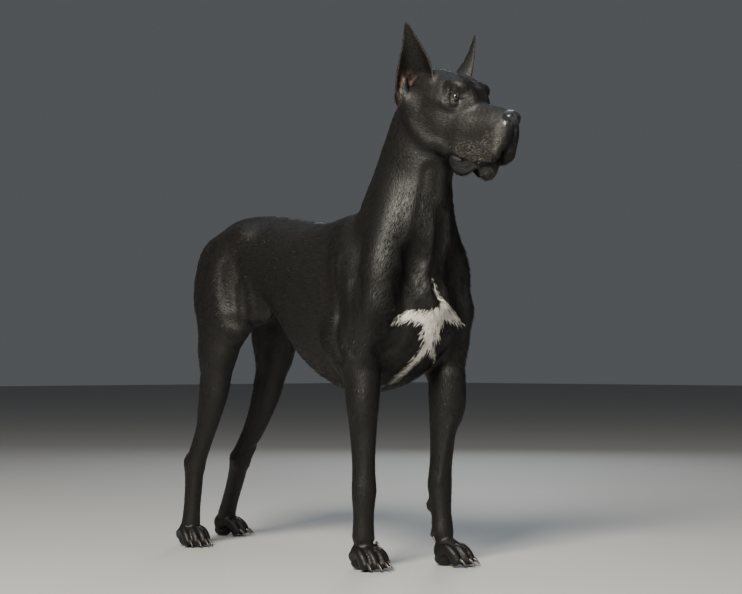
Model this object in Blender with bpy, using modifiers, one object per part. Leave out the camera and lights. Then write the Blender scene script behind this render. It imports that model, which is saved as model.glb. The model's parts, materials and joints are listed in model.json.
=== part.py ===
"""A great dane standing, as a still life-size model: a black dog with cropped, upright ears.

The flesh is one form first. Named masses (tubes with a front, a back and a side radius, and egg-shaped
balls) are blended into each other, hollows are pressed into them, and a mesh is laid over the blend.
Thin domed cuts then part that form where a person would name the parts. Ears, eyes, claws and the
lower jaw are shapes of their own, set against the form. Metres, +Z up, the dog faces +X.
"""

import math

import bmesh
import bpy
import numpy as np
from mathutils import Matrix, Vector

# Driving sizes. Heights are above the floor, X is measured from a point between the elbows.
GAP = 0.0003
HEAD_ORIGIN = Vector((0.297, 0.010, 1.045))
HEAD_YAW = math.radians(4)
HEAD_PITCH = math.radians(14)
EYE_SIDE = 0.041
EYE_RADIUS = 0.0125
TAIL_LENGTH = 0.47


def clear_scene():
    for obj in list(bpy.data.objects):
        bpy.data.objects.remove(obj)
    for mesh in list(bpy.data.meshes):
        bpy.data.meshes.remove(mesh)


class Place:
    """A local frame: where a group of masses sits and how it is turned."""

    def __init__(self, origin=(0, 0, 0), yaw=0.0, pitch=0.0, mirror=1):
        turn = Matrix.Rotation(yaw, 3, "Z") @ Matrix.Rotation(pitch, 3, "Y")
        self.turn = np.array(turn)
        self.origin = np.array(origin, float)
        self.mirror = mirror

    def point(self, p):
        q = np.array(p, float) * (1, self.mirror, 1)
        return self.origin + self.turn @ q

    def direction(self, d):
        q = np.array(d, float) * (1, self.mirror, 1)
        return self.turn @ q


WORLD = Place()
HEAD = Place(HEAD_ORIGIN, HEAD_YAW, HEAD_PITCH)
HEAD_RIGHT = Place(HEAD_ORIGIN, HEAD_YAW, HEAD_PITCH, -1)


class Ball:
    """An egg-shaped mass: a centre, three semi-axes and the direction of the first and the second."""

    def __init__(self, centre, radii, along=(1, 0, 0), side=(0, 1, 0), place=WORLD, blend=0.02, cut=False):
        self.centre = place.point(centre)
        first = place.direction(along)
        first = first / np.linalg.norm(first)
        second = place.direction(side)
        second = second - first * (second @ first)
        second = second / np.linalg.norm(second)
        self.axes = np.array([first, second, np.cross(first, second)])
        self.radii = np.array(radii, float)
        self.blend = blend
        self.cut = cut
        self.reach = self.radii.max() + blend + 0.03
        self.low = self.centre - self.reach
        self.high = self.centre + self.reach

    def distance(self, p):
        local = (p - self.centre) @ self.axes.T
        far = np.sqrt(((local / self.radii) ** 2).sum(1)).clip(1e-3)
        return (far - 1) * np.sqrt((local**2).sum(1)).clip(1e-5) / far

    def rough(self):
        return [(self.centre, self.axes, self.radii)]


def smooth_line(rows, count):
    """Rows of numbers read as one smooth curve (a Catmull-Rom spline), at count points for each step."""
    rows = np.array(rows, float)
    ends = np.vstack([2 * rows[0] - rows[1], rows, 2 * rows[-1] - rows[-2]])
    made = []
    for i in range(1, len(ends) - 2):
        a, b, c, d = ends[i - 1 : i + 3]
        for t in np.linspace(0, 1, count, endpoint=False):
            made.append(
                0.5 * (2 * b + (c - a) * t + (2 * a - 5 * b + 4 * c - d) * t**2)
                + 0.5 * (3 * b - a - 3 * c + d) * t**3
            )
    made.append(rows[-1])
    return np.array(made)


class Tube:
    """A bent tube. Each row is x, y, z, then the radii to the front, the back and the side."""

    def __init__(self, rows, front=(1, 0, 0), place=WORLD, blend=0.02, steps=3, power=2.0, cut=False):
        fine = smooth_line(rows, steps)
        self.points = np.array([place.point(r) for r in fine[:, :3]])
        self.radii = fine[:, 3:6]
        self.power = power
        self.blend = blend
        self.cut = cut
        tangent = np.gradient(self.points, axis=0)
        tangent /= np.linalg.norm(tangent, axis=1, keepdims=True)
        front = place.direction(front)
        u = front - tangent * (tangent @ front)[:, None]
        self.u = u / np.linalg.norm(u, axis=1, keepdims=True)
        self.t = tangent
        self.v = np.cross(self.t, self.u)
        reach = self.radii.max(1)[:, None] + blend + 0.03
        self.low = (self.points - reach).min(0)
        self.high = (self.points + reach).max(0)

    def distance(self, p):
        best = np.full(len(p), 9.0)
        for i in range(len(self.points) - 1):
            a, b = self.points[i], self.points[i + 1]
            step = b - a
            reach = self.radii[i : i + 2].max() + self.blend + 0.03
            near = ((p > np.minimum(a, b) - reach) & (p < np.maximum(a, b) + reach)).all(1)
            if near.any():
                best[near] = np.minimum(best[near], self.segment(i, p[near]))
        return best

    def segment(self, i, p):
        a, b = self.points[i], self.points[i + 1]
        step = b - a
        share = (((p - a) @ step) / (step @ step)).clip(0, 1)[:, None]
        off = p - a - share * step
        u_axis = self.u[i] * (1 - share) + self.u[i + 1] * share
        v_axis = self.v[i] * (1 - share) + self.v[i + 1] * share
        t_axis = self.t[i] * (1 - share) + self.t[i + 1] * share
        u = (off * u_axis).sum(1)
        v = (off * v_axis).sum(1)
        w = (off * t_axis).sum(1)
        radii = self.radii[i] * (1 - share) + self.radii[i + 1] * share
        along_u = np.where(u > 0, radii[:, 0], radii[:, 1])
        cap = radii.min(1)
        n = self.power
        far = (abs(u / along_u) ** n + abs(v / radii[:, 2]) ** n + abs(w / cap) ** n) ** (1 / n)
        far = far.clip(1e-3)
        return (far - 1) * np.sqrt((off**2).sum(1)).clip(1e-5) / far

    def rough(self):
        made = []
        for i, (p, t, u, v, r) in enumerate(zip(self.points, self.t, self.u, self.v, self.radii)):
            centre = p + u * (r[0] - r[1]) / 2
            step = np.linalg.norm(self.points[min(i + 1, len(self.points) - 1)] - self.points[max(i - 1, 0)])
            along = max(r.min(), 0.45 * step)
            made.append((centre, np.array([u, v, t]), np.array([(r[0] + r[1]) / 2, r[2], along])))
        return made


def blended(masses, p):
    """How far each point is from the blend of all the masses, below zero inside."""
    d = np.full(len(p), 9.0)
    for mass in masses:
        near = ((p > mass.low) & (p < mass.high)).all(1)
        if not near.any():
            continue
        here = mass.distance(p[near])
        there = d[near]
        k = mass.blend
        if mass.cut:
            soft = (k - abs(there + here)).clip(0) / k
            d[near] = np.maximum(there, -here) + soft**3 * k / 6
        else:
            soft = (k - abs(there - here)).clip(0) / k
            d[near] = np.minimum(there, here) - soft**3 * k / 6
    return d


def slope(masses, p, d, step=0.0004):
    made = np.empty_like(p)
    for axis in range(3):
        moved = p.copy()
        moved[:, axis] += step
        made[:, axis] = (blended(masses, moved) - d) / step
    return made


def onto_blend(masses, p, rounds=4):
    """Each point moved along the slope of the blend until it lies on its surface."""
    for _ in range(rounds):
        d = blended(masses, p)
        g = slope(masses, p, d)
        size = (g**2).sum(1).clip(0.05)
        move = -(d / size)[:, None] * g
        length = np.sqrt((move**2).sum(1)).clip(1e-9)[:, None]
        p = p + move * np.minimum(1, 0.02 / length)
    return p


def new_object(name, bm):
    mesh = bpy.data.meshes.new(name)
    bm.to_mesh(mesh)
    bm.free()
    obj = bpy.data.objects.new(name, mesh)
    bpy.context.scene.collection.objects.link(obj)
    return obj


def facing_out(bm):
    bm.normal_update()
    bmesh.ops.recalc_face_normals(bm, faces=bm.faces)


def drop(obj):
    bpy.data.objects.remove(obj)


def with_modifier(obj, kind, **settings):
    """The modifier applied: the object's mesh becomes what the modifier makes of it."""
    modifier = obj.modifiers.new(kind, kind)
    for key, value in settings.items():
        setattr(modifier, key, value)
    bpy.context.view_layer.update()
    made = bpy.data.meshes.new_from_object(obj.evaluated_get(bpy.context.evaluated_depsgraph_get()))
    obj.modifiers.clear()
    obj.data = made


def points_of(obj):
    p = np.empty(len(obj.data.vertices) * 3)
    obj.data.vertices.foreach_get("co", p)
    return p.reshape(-1, 3)


def put_points(obj, p):
    obj.data.vertices.foreach_set("co", p.ravel())
    obj.data.update()


def relaxed(obj, p, amount=0.5):
    """Each point drawn towards the middle of its neighbours."""
    ends = np.empty(len(obj.data.edges) * 2, int)
    obj.data.edges.foreach_get("vertices", ends)
    a, b = ends.reshape(-1, 2).T
    total = np.zeros_like(p)
    count = np.zeros(len(p))
    for one, other in ((a, b), (b, a)):
        for axis in range(3):
            total[:, axis] += np.bincount(one, p[other, axis], len(p))
        count += np.bincount(one, minlength=len(p))
    return p + amount * (total / count.clip(1)[:, None] - p)


def keep_largest(obj):
    """Only the largest closed surface of the mesh is kept."""
    bm = bmesh.new()
    bm.from_mesh(obj.data)
    left = set(bm.verts)
    islands = []
    while left:
        stack = [left.pop()]
        island = [stack[0]]
        while stack:
            for edge in stack.pop().link_edges:
                for vert in edge.verts:
                    if vert in left:
                        left.remove(vert)
                        island.append(vert)
                        stack.append(vert)
        islands.append(island)
    islands.sort(key=len)
    for island in islands[:-1]:
        bmesh.ops.delete(bm, geom=island, context="VERTS")
    bm.to_mesh(obj.data)
    bm.free()


def laid_over(name, masses, voxel, triangles):
    """A closed mesh over the blend of the masses, with about so many triangles."""
    bm = bmesh.new()
    for mass in masses:
        if mass.cut:
            continue
        for centre, axes, radii in mass.rough():
            turn = Matrix([list(r) for r in (axes * radii[:, None]).T]).to_4x4()
            turn.translation = Vector(centre)
            bmesh.ops.create_icosphere(bm, subdivisions=3, radius=1.0, matrix=turn)
    obj = new_object(name, bm)
    for turn in range(2):
        with_modifier(obj, "REMESH", mode="VOXEL", voxel_size=voxel)
        keep_largest(obj)
        p = points_of(obj)
        for _ in range(turn + 1):
            p = relaxed(obj, onto_blend(masses, p, 2))
        put_points(obj, onto_blend(masses, p, 2 + turn))
    with_modifier(obj, "TRIANGULATE")
    ratio = triangles / len(obj.data.polygons)
    if ratio < 1:
        with_modifier(obj, "DECIMATE", ratio=ratio)
        p = points_of(obj)
        put_points(obj, onto_blend(masses, relaxed(obj, p, 0.25), 2))
    return obj


def boolean(obj, other, operation="DIFFERENCE", solver="EXACT", spend=True):
    with_modifier(obj, "BOOLEAN", operation=operation, object=other, solver=solver)
    if spend:
        drop(other)


def block(low, high, place=WORLD):
    """A closed box from one corner to the other, in the frame of a place."""
    bm = bmesh.new()
    bmesh.ops.create_cube(bm, size=1.0)
    low, high = np.array(low, float), np.array(high, float)
    for vert in bm.verts:
        vert.co = Vector(place.point((low + high) / 2 + np.array(vert.co) * (high - low)))
    facing_out(bm)
    return new_object("block", bm)


def pair(make):
    """The same masses for the left side (+1) and the right side (-1)."""
    return make(1) + make(-1)


def trunk_masses():
    made = [
        Tube(
            [
                (0.140, 0, 0.610, 0.125, 0.130, 0.085),
                (0.100, 0, 0.605, 0.170, 0.180, 0.112),
                (0.030, 0, 0.600, 0.205, 0.203, 0.122),
                (-0.040, 0, 0.600, 0.214, 0.205, 0.127),
                (-0.110, 0, 0.606, 0.200, 0.171, 0.130),
                (-0.180, 0, 0.626, 0.182, 0.108, 0.127),
                (-0.250, 0, 0.655, 0.163, 0.080, 0.119),
                (-0.320, 0, 0.680, 0.146, 0.096, 0.112),
                (-0.390, 0, 0.690, 0.143, 0.118, 0.110),
                (-0.450, 0, 0.688, 0.141, 0.110, 0.106),
                (-0.496, 0, 0.686, 0.116, 0.100, 0.078),
            ],
            front=(0, 0, 1),
            blend=0.03,
        ),
        Ball((0.165, 0, 0.625), (0.058, 0.045, 0.060), blend=0.04),
    ]
    return made + pair(
        lambda s: [
            # Buttock, hip point, flank fold and the long muscle beside the spine.
            Ball((-0.518, s * 0.050, 0.690), (0.056, 0.048, 0.090), blend=0.05),
            Ball((-0.385, s * 0.070, 0.775), (0.050, 0.030, 0.030), blend=0.05),
            Ball((-0.330, s * 0.085, 0.600), (0.075, 0.020, 0.040), (1, 0, -0.25), blend=0.05),
        ]
    )


def neck_masses(lowest=0.0):
    """The neck, from a given height up."""
    rows = [
        (0.070, 0, 0.650, 0.135, 0.100, 0.125),
        (0.108, 0, 0.750, 0.135, 0.122, 0.108),
        (0.130, 0, 0.825, 0.117, 0.120, 0.088),
        (0.142, 0, 0.880, 0.106, 0.106, 0.077),
        (0.160, 0, 0.940, 0.096, 0.096, 0.071),
        (0.180, 0.002, 1.000, 0.086, 0.088, 0.066),
        (0.205, 0.004, 1.040, 0.075, 0.074, 0.060),
    ]
    made = [Tube([row for row in rows if row[2] > lowest], blend=0.04)]
    # The muscle from the side of the neck down to the point of the shoulder.
    side_rows = [
        (0.135, 0.040, 0.860, 0.050, 0.050, 0.038),
        (0.142, 0.074, 0.760, 0.052, 0.052, 0.046),
        (0.150, 0.100, 0.680, 0.054, 0.052, 0.052),
        (0.148, 0.106, 0.600, 0.050, 0.052, 0.050),
    ]
    side_rows = [row for row in side_rows if row[2] > lowest - 0.05]
    return made + pair(lambda s: [Tube([(x, s * y, *rest) for x, y, *rest in side_rows], blend=0.03)])


def shoulder_masses(s, lead, reach):
    """Shoulder blade, upper arm and breast of one side; lead sets it forward, reach its lower end more so."""
    f = lead
    return [
        Tube(
            [
                (-0.010, s * 0.050, 0.772, 0.045, 0.050, 0.034),
                (0.035 + f / 3, s * 0.086, 0.700, 0.060, 0.060, 0.042),
                (0.085 + f / 2, s * 0.104, 0.635, 0.062, 0.066, 0.046),
                (0.130 + f, s * 0.106, 0.580, 0.056, 0.060, 0.050),
            ],
            blend=0.03,
        ),
        Tube(
            [
                (0.128 + f, s * 0.104, 0.575, 0.056, 0.064, 0.050),
                (0.105 + f + reach / 2, s * 0.108, 0.520, 0.058, 0.072, 0.050),
                (0.088 + f + reach, s * 0.106, 0.455, 0.050, 0.060, 0.044),
            ],
            blend=0.03,
        ),
        Ball((0.135 + f / 2, s * 0.056, 0.565), (0.068, 0.056, 0.080), blend=0.03),
        # The three-headed muscle behind the arm, down to the elbow.
        Ball((0.040 + f, s * 0.112, 0.500), (0.055, 0.034, 0.070), (0.5, 0, 0.8), blend=0.04),
    ]


def foreleg_masses(s, elbow, wrist, ankle):
    """Forearm, wrist and pastern of one foreleg, from the elbow's middle down to just above the paw."""
    elbow, wrist, ankle = (np.array(p, float) for p in (elbow, wrist, ankle))
    down = wrist - elbow
    rows = [
        (*(elbow + down * 0.00), 0.043, 0.050, 0.039),
        (*(elbow + down * 0.18), 0.041, 0.046, 0.036),
        (*(elbow + down * 0.40), 0.036, 0.039, 0.031),
        (*(elbow + down * 0.65), 0.031, 0.032, 0.0265),
        (*(elbow + down * 0.85), 0.029, 0.029, 0.0265),
        (*(elbow + down * 1.00), 0.031, 0.029, 0.0295),
        (*(wrist * 0.75 + ankle * 0.25), 0.028, 0.028, 0.0275),
        (*(wrist * 0.40 + ankle * 0.60), 0.025, 0.025, 0.0250),
        (*ankle, 0.027, 0.027, 0.0270),
    ]
    return [
        Tube(rows, blend=0.02),
        Ball(elbow + (-0.040, s * 0.004, 0.022), (0.018, 0.014, 0.024), blend=0.03),
        Ball(elbow + (0.010, s * 0.012, -0.045), (0.030, 0.026, 0.070), blend=0.03),
        # Stopper pad behind the wrist.
        Ball(wrist + (-0.027, -s * 0.010, -0.050), (0.010, 0.010, 0.013), blend=0.012),
    ]


def hind_masses(s, knee, hock, ankle, bow):
    """Thigh, knee, lower leg with its tendon, hock and metatarsus of one hind leg."""
    knee, hock, ankle = (np.array(p, float) for p in (knee, hock, ankle))
    hip = np.array((-0.448, s * 0.076, 0.670))

    def shin(share):
        return knee + (hock - knee) * share + (bow * math.sin(math.pi * share), 0, 0)

    point = hock + (-0.026, 0, 0.012)
    return [
        Tube(
            [
                (-0.442, s * 0.064, 0.735, 0.082, 0.074, 0.051),
                (*hip, 0.115, 0.104, 0.061),
                (*(hip * 0.55 + knee * 0.45 + (0.012, s * 0.003, 0)), 0.104, 0.097, 0.060),
                (*(hip * 0.20 + knee * 0.80), 0.068, 0.071, 0.050),
                (*(knee + (0, 0, -0.01)), 0.050, 0.053, 0.041),
            ],
            blend=0.035,
        ),
        Tube(
            [
                (*shin(0.00), 0.048, 0.051, 0.040),
                (*shin(0.18), 0.046, 0.047, 0.036),
                (*shin(0.36), 0.043, 0.045, 0.032),
                (*shin(0.55), 0.034, 0.034, 0.0265),
                (*shin(0.75), 0.028, 0.023, 0.0225),
                (*shin(0.92), 0.027, 0.022, 0.0225),
                (*hock, 0.029, 0.027, 0.0250),
            ],
            blend=0.025,
        ),
        # Kneecap, heel tendon and the point of the hock.
        Ball(knee + (0.036, 0, 0.012), (0.022, 0.026, 0.032), blend=0.03),
        Tube(
            [
                (*(shin(0.40) + (-0.026, 0, 0)), 0.020, 0.020, 0.020),
                (*(shin(0.70) + (-0.031, 0, 0.004)), 0.012, 0.012, 0.012),
                (*point, 0.0115, 0.0115, 0.0125),
            ],
            blend=0.014,
        ),
        Tube(
            [
                (*(hock + (-0.004, 0, 0.004)), 0.028, 0.032, 0.0245),
                (*(hock * 0.72 + ankle * 0.28), 0.0255, 0.0275, 0.0225),
                (*(hock * 0.30 + ankle * 0.70), 0.024, 0.025, 0.0215),
                (*ankle, 0.026, 0.026, 0.0245),
            ],
            blend=0.015,
        ),
    ]


def tail_masses(length=TAIL_LENGTH):
    rows = [(-0.522, 0, 0.774, 0.034, 0.034, 0.036), (-0.560, 0, 0.764, 0.027, 0.027, 0.0265)]
    ends = ((0.06, 0.592, 0.0230), (0.3, 0.611, 0.0190), (0.6, 0.612, 0.0145), (1.0, 0.606, 0.0080))
    for share, back, size in ends:
        rows.append((-back, 0.004 * share, 0.765 - TAIL_LENGTH * share, size, size, size))
    return [Tube([row for row in rows if row[2] > 0.764 - length], blend=0.012)]


TOES = ((-0.0295, 0.034), (-0.0108, 0.047), (0.0108, 0.047), (0.0295, 0.034))


def paw_masses(place, wide, long):
    """Four arched toes and the pads under them; the place is the middle of the sole at floor level."""
    made = [
        Ball((-0.012 * long, 0, 0.036), (0.036 * long, 0.029 * wide, 0.030), place=place, blend=0.016),
        Ball((-0.020 * long, 0, 0.0150), (0.026 * long, 0.026 * wide, 0.0175), place=place, blend=0.008),
    ]
    for side, reach in TOES:
        x, y = reach * long, side * wide
        made.append(
            Tube(
                [
                    (x - 0.058, y * 0.70, 0.030, 0.014, 0.014, 0.0110),
                    (x - 0.032, y * 0.92, 0.040, 0.014, 0.014, 0.0112),
                    (x - 0.014, y * 1.02, 0.030, 0.014, 0.015, 0.0118),
                    (x - 0.004, y * 1.02, 0.0155, 0.013, 0.0165, 0.0112),
                ],
                front=(0, 0, 1),
                place=place,
                blend=0.005,
                power=2.3,
            )
        )
    return made


def head_masses():
    """Skull, muzzle and upper lips in the head's own frame: x to the nose, z up, the eyes near x = z = 0."""
    made = [
        Tube(
            [
                (-0.128, 0, 0.000, 0.034, 0.050, 0.040),
                (-0.100, 0, 0.002, 0.054, 0.070, 0.058),
                (-0.060, 0, 0.000, 0.062, 0.085, 0.063),
                (-0.020, 0, 0.000, 0.056, 0.080, 0.056),
                (0.008, 0, -0.010, 0.042, 0.070, 0.044),
            ],
            front=(0, 0, 1),
            place=HEAD,
            blend=0.03,
            power=2.3,
        ),
        Tube(
            [
                (-0.020, 0, -0.055, 0.058, 0.060, 0.048),
                (0.020, 0, -0.055, 0.057, 0.058, 0.040),
                (0.060, 0, -0.052, 0.055, 0.054, 0.034),
                (0.100, 0, -0.050, 0.051, 0.045, 0.031),
                (0.126, 0, -0.046, 0.044, 0.036, 0.028),
            ],
            front=(0, 0, 1),
            place=HEAD,
            blend=0.025,
            power=2.5,
        ),
        # The nose.
        Ball((0.139, 0, -0.020), (0.020, 0.024, 0.0185), place=HEAD, blend=0.008),
    ]
    for place in (HEAD, HEAD_RIGHT):
        made += [
            # Brow, cheekbone, cheek muscle and the branch of the jaw under the ear.
            Ball((0.003, 0.038, 0.028), (0.028, 0.021, 0.018), place=place, blend=0.02),
            Ball((-0.028, 0.051, -0.012), (0.052, 0.013, 0.014), place=place, blend=0.02),
            Ball((-0.052, 0.045, -0.050), (0.050, 0.020, 0.046), (0.4, 0, -0.9), place=place, blend=0.03),
            Tube(
                [
                    (-0.100, 0.050, -0.040, 0.020, 0.020, 0.016),
                    (-0.050, 0.042, -0.095, 0.020, 0.020, 0.018),
                    (0.000, 0.032, -0.112, 0.022, 0.022, 0.020),
                ],
                place=place,
                blend=0.03,
            ),
            # The side lip, and its front edge up to the nose.
            Tube(
                [
                    (0.124, 0.0245, -0.080, 0.045, 0.044, 0.0135),
                    (0.095, 0.0260, -0.080, 0.050, 0.050, 0.0130),
                    (0.062, 0.0290, -0.078, 0.050, 0.050, 0.0140),
                    (0.028, 0.0320, -0.074, 0.046, 0.048, 0.0170),
                    (-0.006, 0.0340, -0.072, 0.030, 0.034, 0.0150),
                ],
                front=(0, 0, 1),
                place=place,
                blend=0.024,
                power=2.2,
            ),
            Tube(
                [
                    (0.139, 0.010, -0.042, 0.012, 0.014, 0.013),
                    (0.138, 0.018, -0.070, 0.013, 0.014, 0.013),
                    (0.133, 0.0255, -0.101, 0.013, 0.016, 0.012),
                ],
                place=place,
                blend=0.008,
            ),
            # The root of the ear, which the cup stands on.
            Tube(
                [
                    (-0.114, 0.048, -0.052, 0.020, 0.020, 0.016),
                    (-0.124, 0.064, -0.022, 0.022, 0.026, 0.017),
                    (-0.126, 0.070, 0.000, 0.016, 0.022, 0.012),
                    (-0.126, 0.073, 0.020, 0.010, 0.012, 0.008),
                ],
                place=place,
                blend=0.018,
            ),
            # The swell of the lids over the eyeball, and the nostril.
            Ball(eye_spot(0), (0.0158, 0.0175, 0.0160), EYE_OUT, place=place, blend=0.010),
            Ball(
                (0.155, 0.0115, -0.023), (0.009, 0.0048, 0.0050), (1, 0.3, 0),
                place=place, blend=0.003, cut=True,
            ),
        ]
    return made


EYE_OUT = (math.cos(math.radians(40)), math.sin(math.radians(40)), 0.05)


def eye_spot(out):
    """A point on the line of sight of the left eye, this far out from the middle of the eyeball."""
    return (0.004 + EYE_OUT[0] * out, EYE_SIDE + EYE_OUT[1] * out, 0.003 + EYE_OUT[2] * out)


def jaw_masses():
    """Lower jaw with the chin and the hanging corners of the lower lip, in the head's own frame."""
    made = [
        Ball((0.099, 0, -0.133), (0.026, 0.022, 0.032), place=HEAD, blend=0.012),
        Tube(
            [
                (0.100, 0, -0.110, 0.016, 0.020, 0.021),
                (0.060, 0, -0.110, 0.018, 0.022, 0.025),
                (0.010, 0, -0.108, 0.022, 0.028, 0.030),
            ],
            front=(0, 0, 1),
            place=HEAD,
            blend=0.02,
        ),
    ]
    for place in (HEAD, HEAD_RIGHT):
        made.append(
            Tube(
                [
                    (0.022, 0.029, -0.133, 0.014, 0.014, 0.011),
                    (0.040, 0.031, -0.145, 0.016, 0.018, 0.011),
                    (0.058, 0.029, -0.145, 0.016, 0.018, 0.010),
                    (0.078, 0.022, -0.131, 0.012, 0.013, 0.009),
                ],
                front=(0, 0, 1),
                place=place,
                blend=0.012,
            )
        )
    return made


def material_for(obj, colour, rough):
    mat = bpy.data.materials.new(obj.name + "_surface")
    mat.use_nodes = True
    shader = mat.node_tree.nodes["Principled BSDF"]
    shader.inputs["Base Color"].default_value = (*colour, 1)
    shader.inputs["Roughness"].default_value = rough
    obj.data.materials.clear()
    obj.data.materials.append(mat)


# Each ear's base, its tip and how far its middle bows in; the left one stands a little wider.
RIGHT_EAR = ((-0.088, 0.070, -0.026), (-0.109, 0.117, 0.141), 0.008)
LEFT_EAR = ((-0.088, 0.073, -0.024), (-0.109, 0.118, 0.149), -0.003)
EAR_TURN = math.radians(33)
# Half the ear's width, and how far its edges curl round, from base to tip.
EAR_WIDTHS = (
    (0, 0.036), (0.15, 0.041), (0.27, 0.042), (0.39, 0.039),
    (0.55, 0.032), (0.76, 0.0185), (0.88, 0.0105), (1, 0.003),
)
EAR_CURLS = ((0, 100), (0.3, 84), (0.5, 62), (0.75, 40), (1, 25))


def ear_object(name, place, base, tip, bow):
    """A cupped ear: rows of arcs from the base to the tip, given a thickness."""
    rows, columns = 14, 10
    base, tip = np.array(base), np.array(tip)
    up = tip - base
    up /= np.linalg.norm(up)
    out = np.array((math.sin(EAR_TURN), math.cos(EAR_TURN), 0.0))
    out -= up * (out @ up)
    out /= np.linalg.norm(out)
    fore = np.cross(out, up)
    if fore[0] < 0:
        fore = -fore
    bm = bmesh.new()
    grid = []
    for layer in (0, 1):
        sheet = []
        for i in range(rows):
            s = i / (rows - 1)
            width = np.interp(s, *zip(*EAR_WIDTHS))
            bend = math.radians(np.interp(s, *zip(*EAR_CURLS)))
            radius = width / math.sin(min(bend, math.pi / 2))
            wall = (0.0026 - 0.0008 * s) * (1 if layer else -1)
            middle = base + (tip - base) * s - out * bow * math.sin(math.pi * s)
            middle = middle + fore * 0.008 * math.sin(math.pi * s)
            # The lowest rows lean in, so that the cup's edges end in the side of the head.
            middle = middle - out * 0.024 * max(0, 1 - s / 0.35) ** 2
            line = []
            for j in range(columns):
                t = -1 + 2 * j / (columns - 1)
                a = bend * t
                r = radius + wall * (1 - 0.75 * abs(t) ** 6)
                deep = radius * math.cos(bend)
                p = middle + fore * r * math.sin(a) - out * (r * math.cos(a) - deep)
                line.append(bm.verts.new(Vector(place.point(p))))
            sheet.append(line)
        grid.append(sheet)
    inner, outer = grid
    for i in range(rows - 1):
        for j in range(columns - 1):
            bm.faces.new((outer[i][j], outer[i][j + 1], outer[i + 1][j + 1], outer[i + 1][j]))
            bm.faces.new((inner[i][j], inner[i + 1][j], inner[i + 1][j + 1], inner[i][j + 1]))
        bm.faces.new((outer[i][0], outer[i + 1][0], inner[i + 1][0], inner[i][0]))
        k = columns - 1
        bm.faces.new((outer[i][k], inner[i][k], inner[i + 1][k], outer[i + 1][k]))
    for j in range(columns - 1):
        k = rows - 1
        bm.faces.new((outer[0][j], inner[0][j], inner[0][j + 1], outer[0][j + 1]))
        bm.faces.new((outer[k][j], outer[k][j + 1], inner[k][j + 1], inner[k][j]))
    facing_out(bm)
    obj = new_object(name, bm)
    with_modifier(obj, "TRIANGULATE")
    return obj


def eye_object(name, place, radius):
    bm = bmesh.new()
    bmesh.ops.create_uvsphere(bm, u_segments=14, v_segments=9, radius=radius)
    for vert in bm.verts:
        vert.co = Vector(place.point(np.array(eye_spot(0)) + np.array(vert.co)))
    facing_out(bm)
    obj = new_object(name, bm)
    with_modifier(obj, "TRIANGULATE")
    return obj


def lid_opening(place):
    """The almond-shaped opening between the lids, as a cutter."""
    bm = bmesh.new()
    bmesh.ops.create_uvsphere(bm, u_segments=20, v_segments=12, radius=1.0)
    out = np.array(EYE_OUT) / np.linalg.norm(EYE_OUT)
    across = np.array((-out[1], out[0], 0))
    across /= np.linalg.norm(across)
    up = np.cross(out, across)
    for vert in bm.verts:
        x, y, z = vert.co
        point = np.array(eye_spot(0.013)) + out * x * 0.009 + across * y * 0.0116 + up * z * 0.0060
        vert.co = Vector(place.point(point))
    facing_out(bm)
    return new_object("opening", bm)


CLAW_SIZE = (0.0135, 0.0042)


def claw_object(name, place, tip, turn, size=1.0):
    """A claw: a bent cone from inside the toe's end, forwards and down."""
    length, thick = (v * size for v in CLAW_SIZE)
    bm = bmesh.new()
    rings = []
    for i in range(5):
        s = i / 4
        angle = math.radians(-8 - 48 * s)
        x = tip[0] - 0.006 + length * 1.45 * s
        z = tip[2] + length * 0.30 - length * 0.95 * s * s
        r = thick * (1 - s**1.6) + 0.0007
        ring = []
        for j in range(7):
            a = 2 * math.pi * j / 7
            side, rise = r * 0.75 * math.cos(a), r * math.sin(a)
            off = (x + rise * math.sin(-angle), side, z + rise * math.cos(angle))
            dx, dy = off[0] - tip[0], off[1]
            across = dx * math.sin(turn) + dy * math.cos(turn)
            p = (tip[0] + dx * math.cos(turn) - dy * math.sin(turn), tip[1] + across, off[2])
            ring.append(bm.verts.new(Vector(place.point(p))))
        rings.append(ring)
    for lower, upper in zip(rings, rings[1:]):
        for j in range(7):
            bm.faces.new((lower[j], lower[(j + 1) % 7], upper[(j + 1) % 7], upper[j]))
    bm.faces.new(rings[0])
    bm.faces.new(rings[-1])
    facing_out(bm)
    obj = new_object(name, bm)
    with_modifier(obj, "TRIANGULATE")
    return obj


def swollen(obj, by):
    """A copy of the mesh with each point moved out along its normal."""
    bm = bmesh.new()
    bm.from_mesh(obj.data)
    bm.normal_update()
    for vert, normal in [(v, v.normal.copy()) for v in bm.verts]:
        vert.co += normal * by
    return new_object(obj.name + "_cutter", bm)


def copied(obj, name):
    twin = bpy.data.objects.new(name, obj.data.copy())
    bpy.context.scene.collection.objects.link(twin)
    return twin


def split(obj, name, plane_point, plane_normal, low, high):
    """Parts the mesh at a plane, within a box given along the plane: returns the piece in front of it."""
    normal = Vector(plane_normal).normalized()
    side = Vector((0, 1, 0))
    top = normal.cross(side)
    frame = Place()
    frame.turn = np.array([list(normal), list(side), list(top)]).T
    frame.origin = np.array(plane_point, float)
    piece = copied(obj, name)
    boolean(piece, block((GAP / 2, low[0], low[1]), (1.5, high[0], high[1]), frame), "INTERSECT")
    boolean(obj, block((-GAP / 2, low[0], low[1]), (1.5, high[0], high[1]), frame), "DIFFERENCE")
    keep_largest(piece)
    keep_largest(obj)
    return piece


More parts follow.
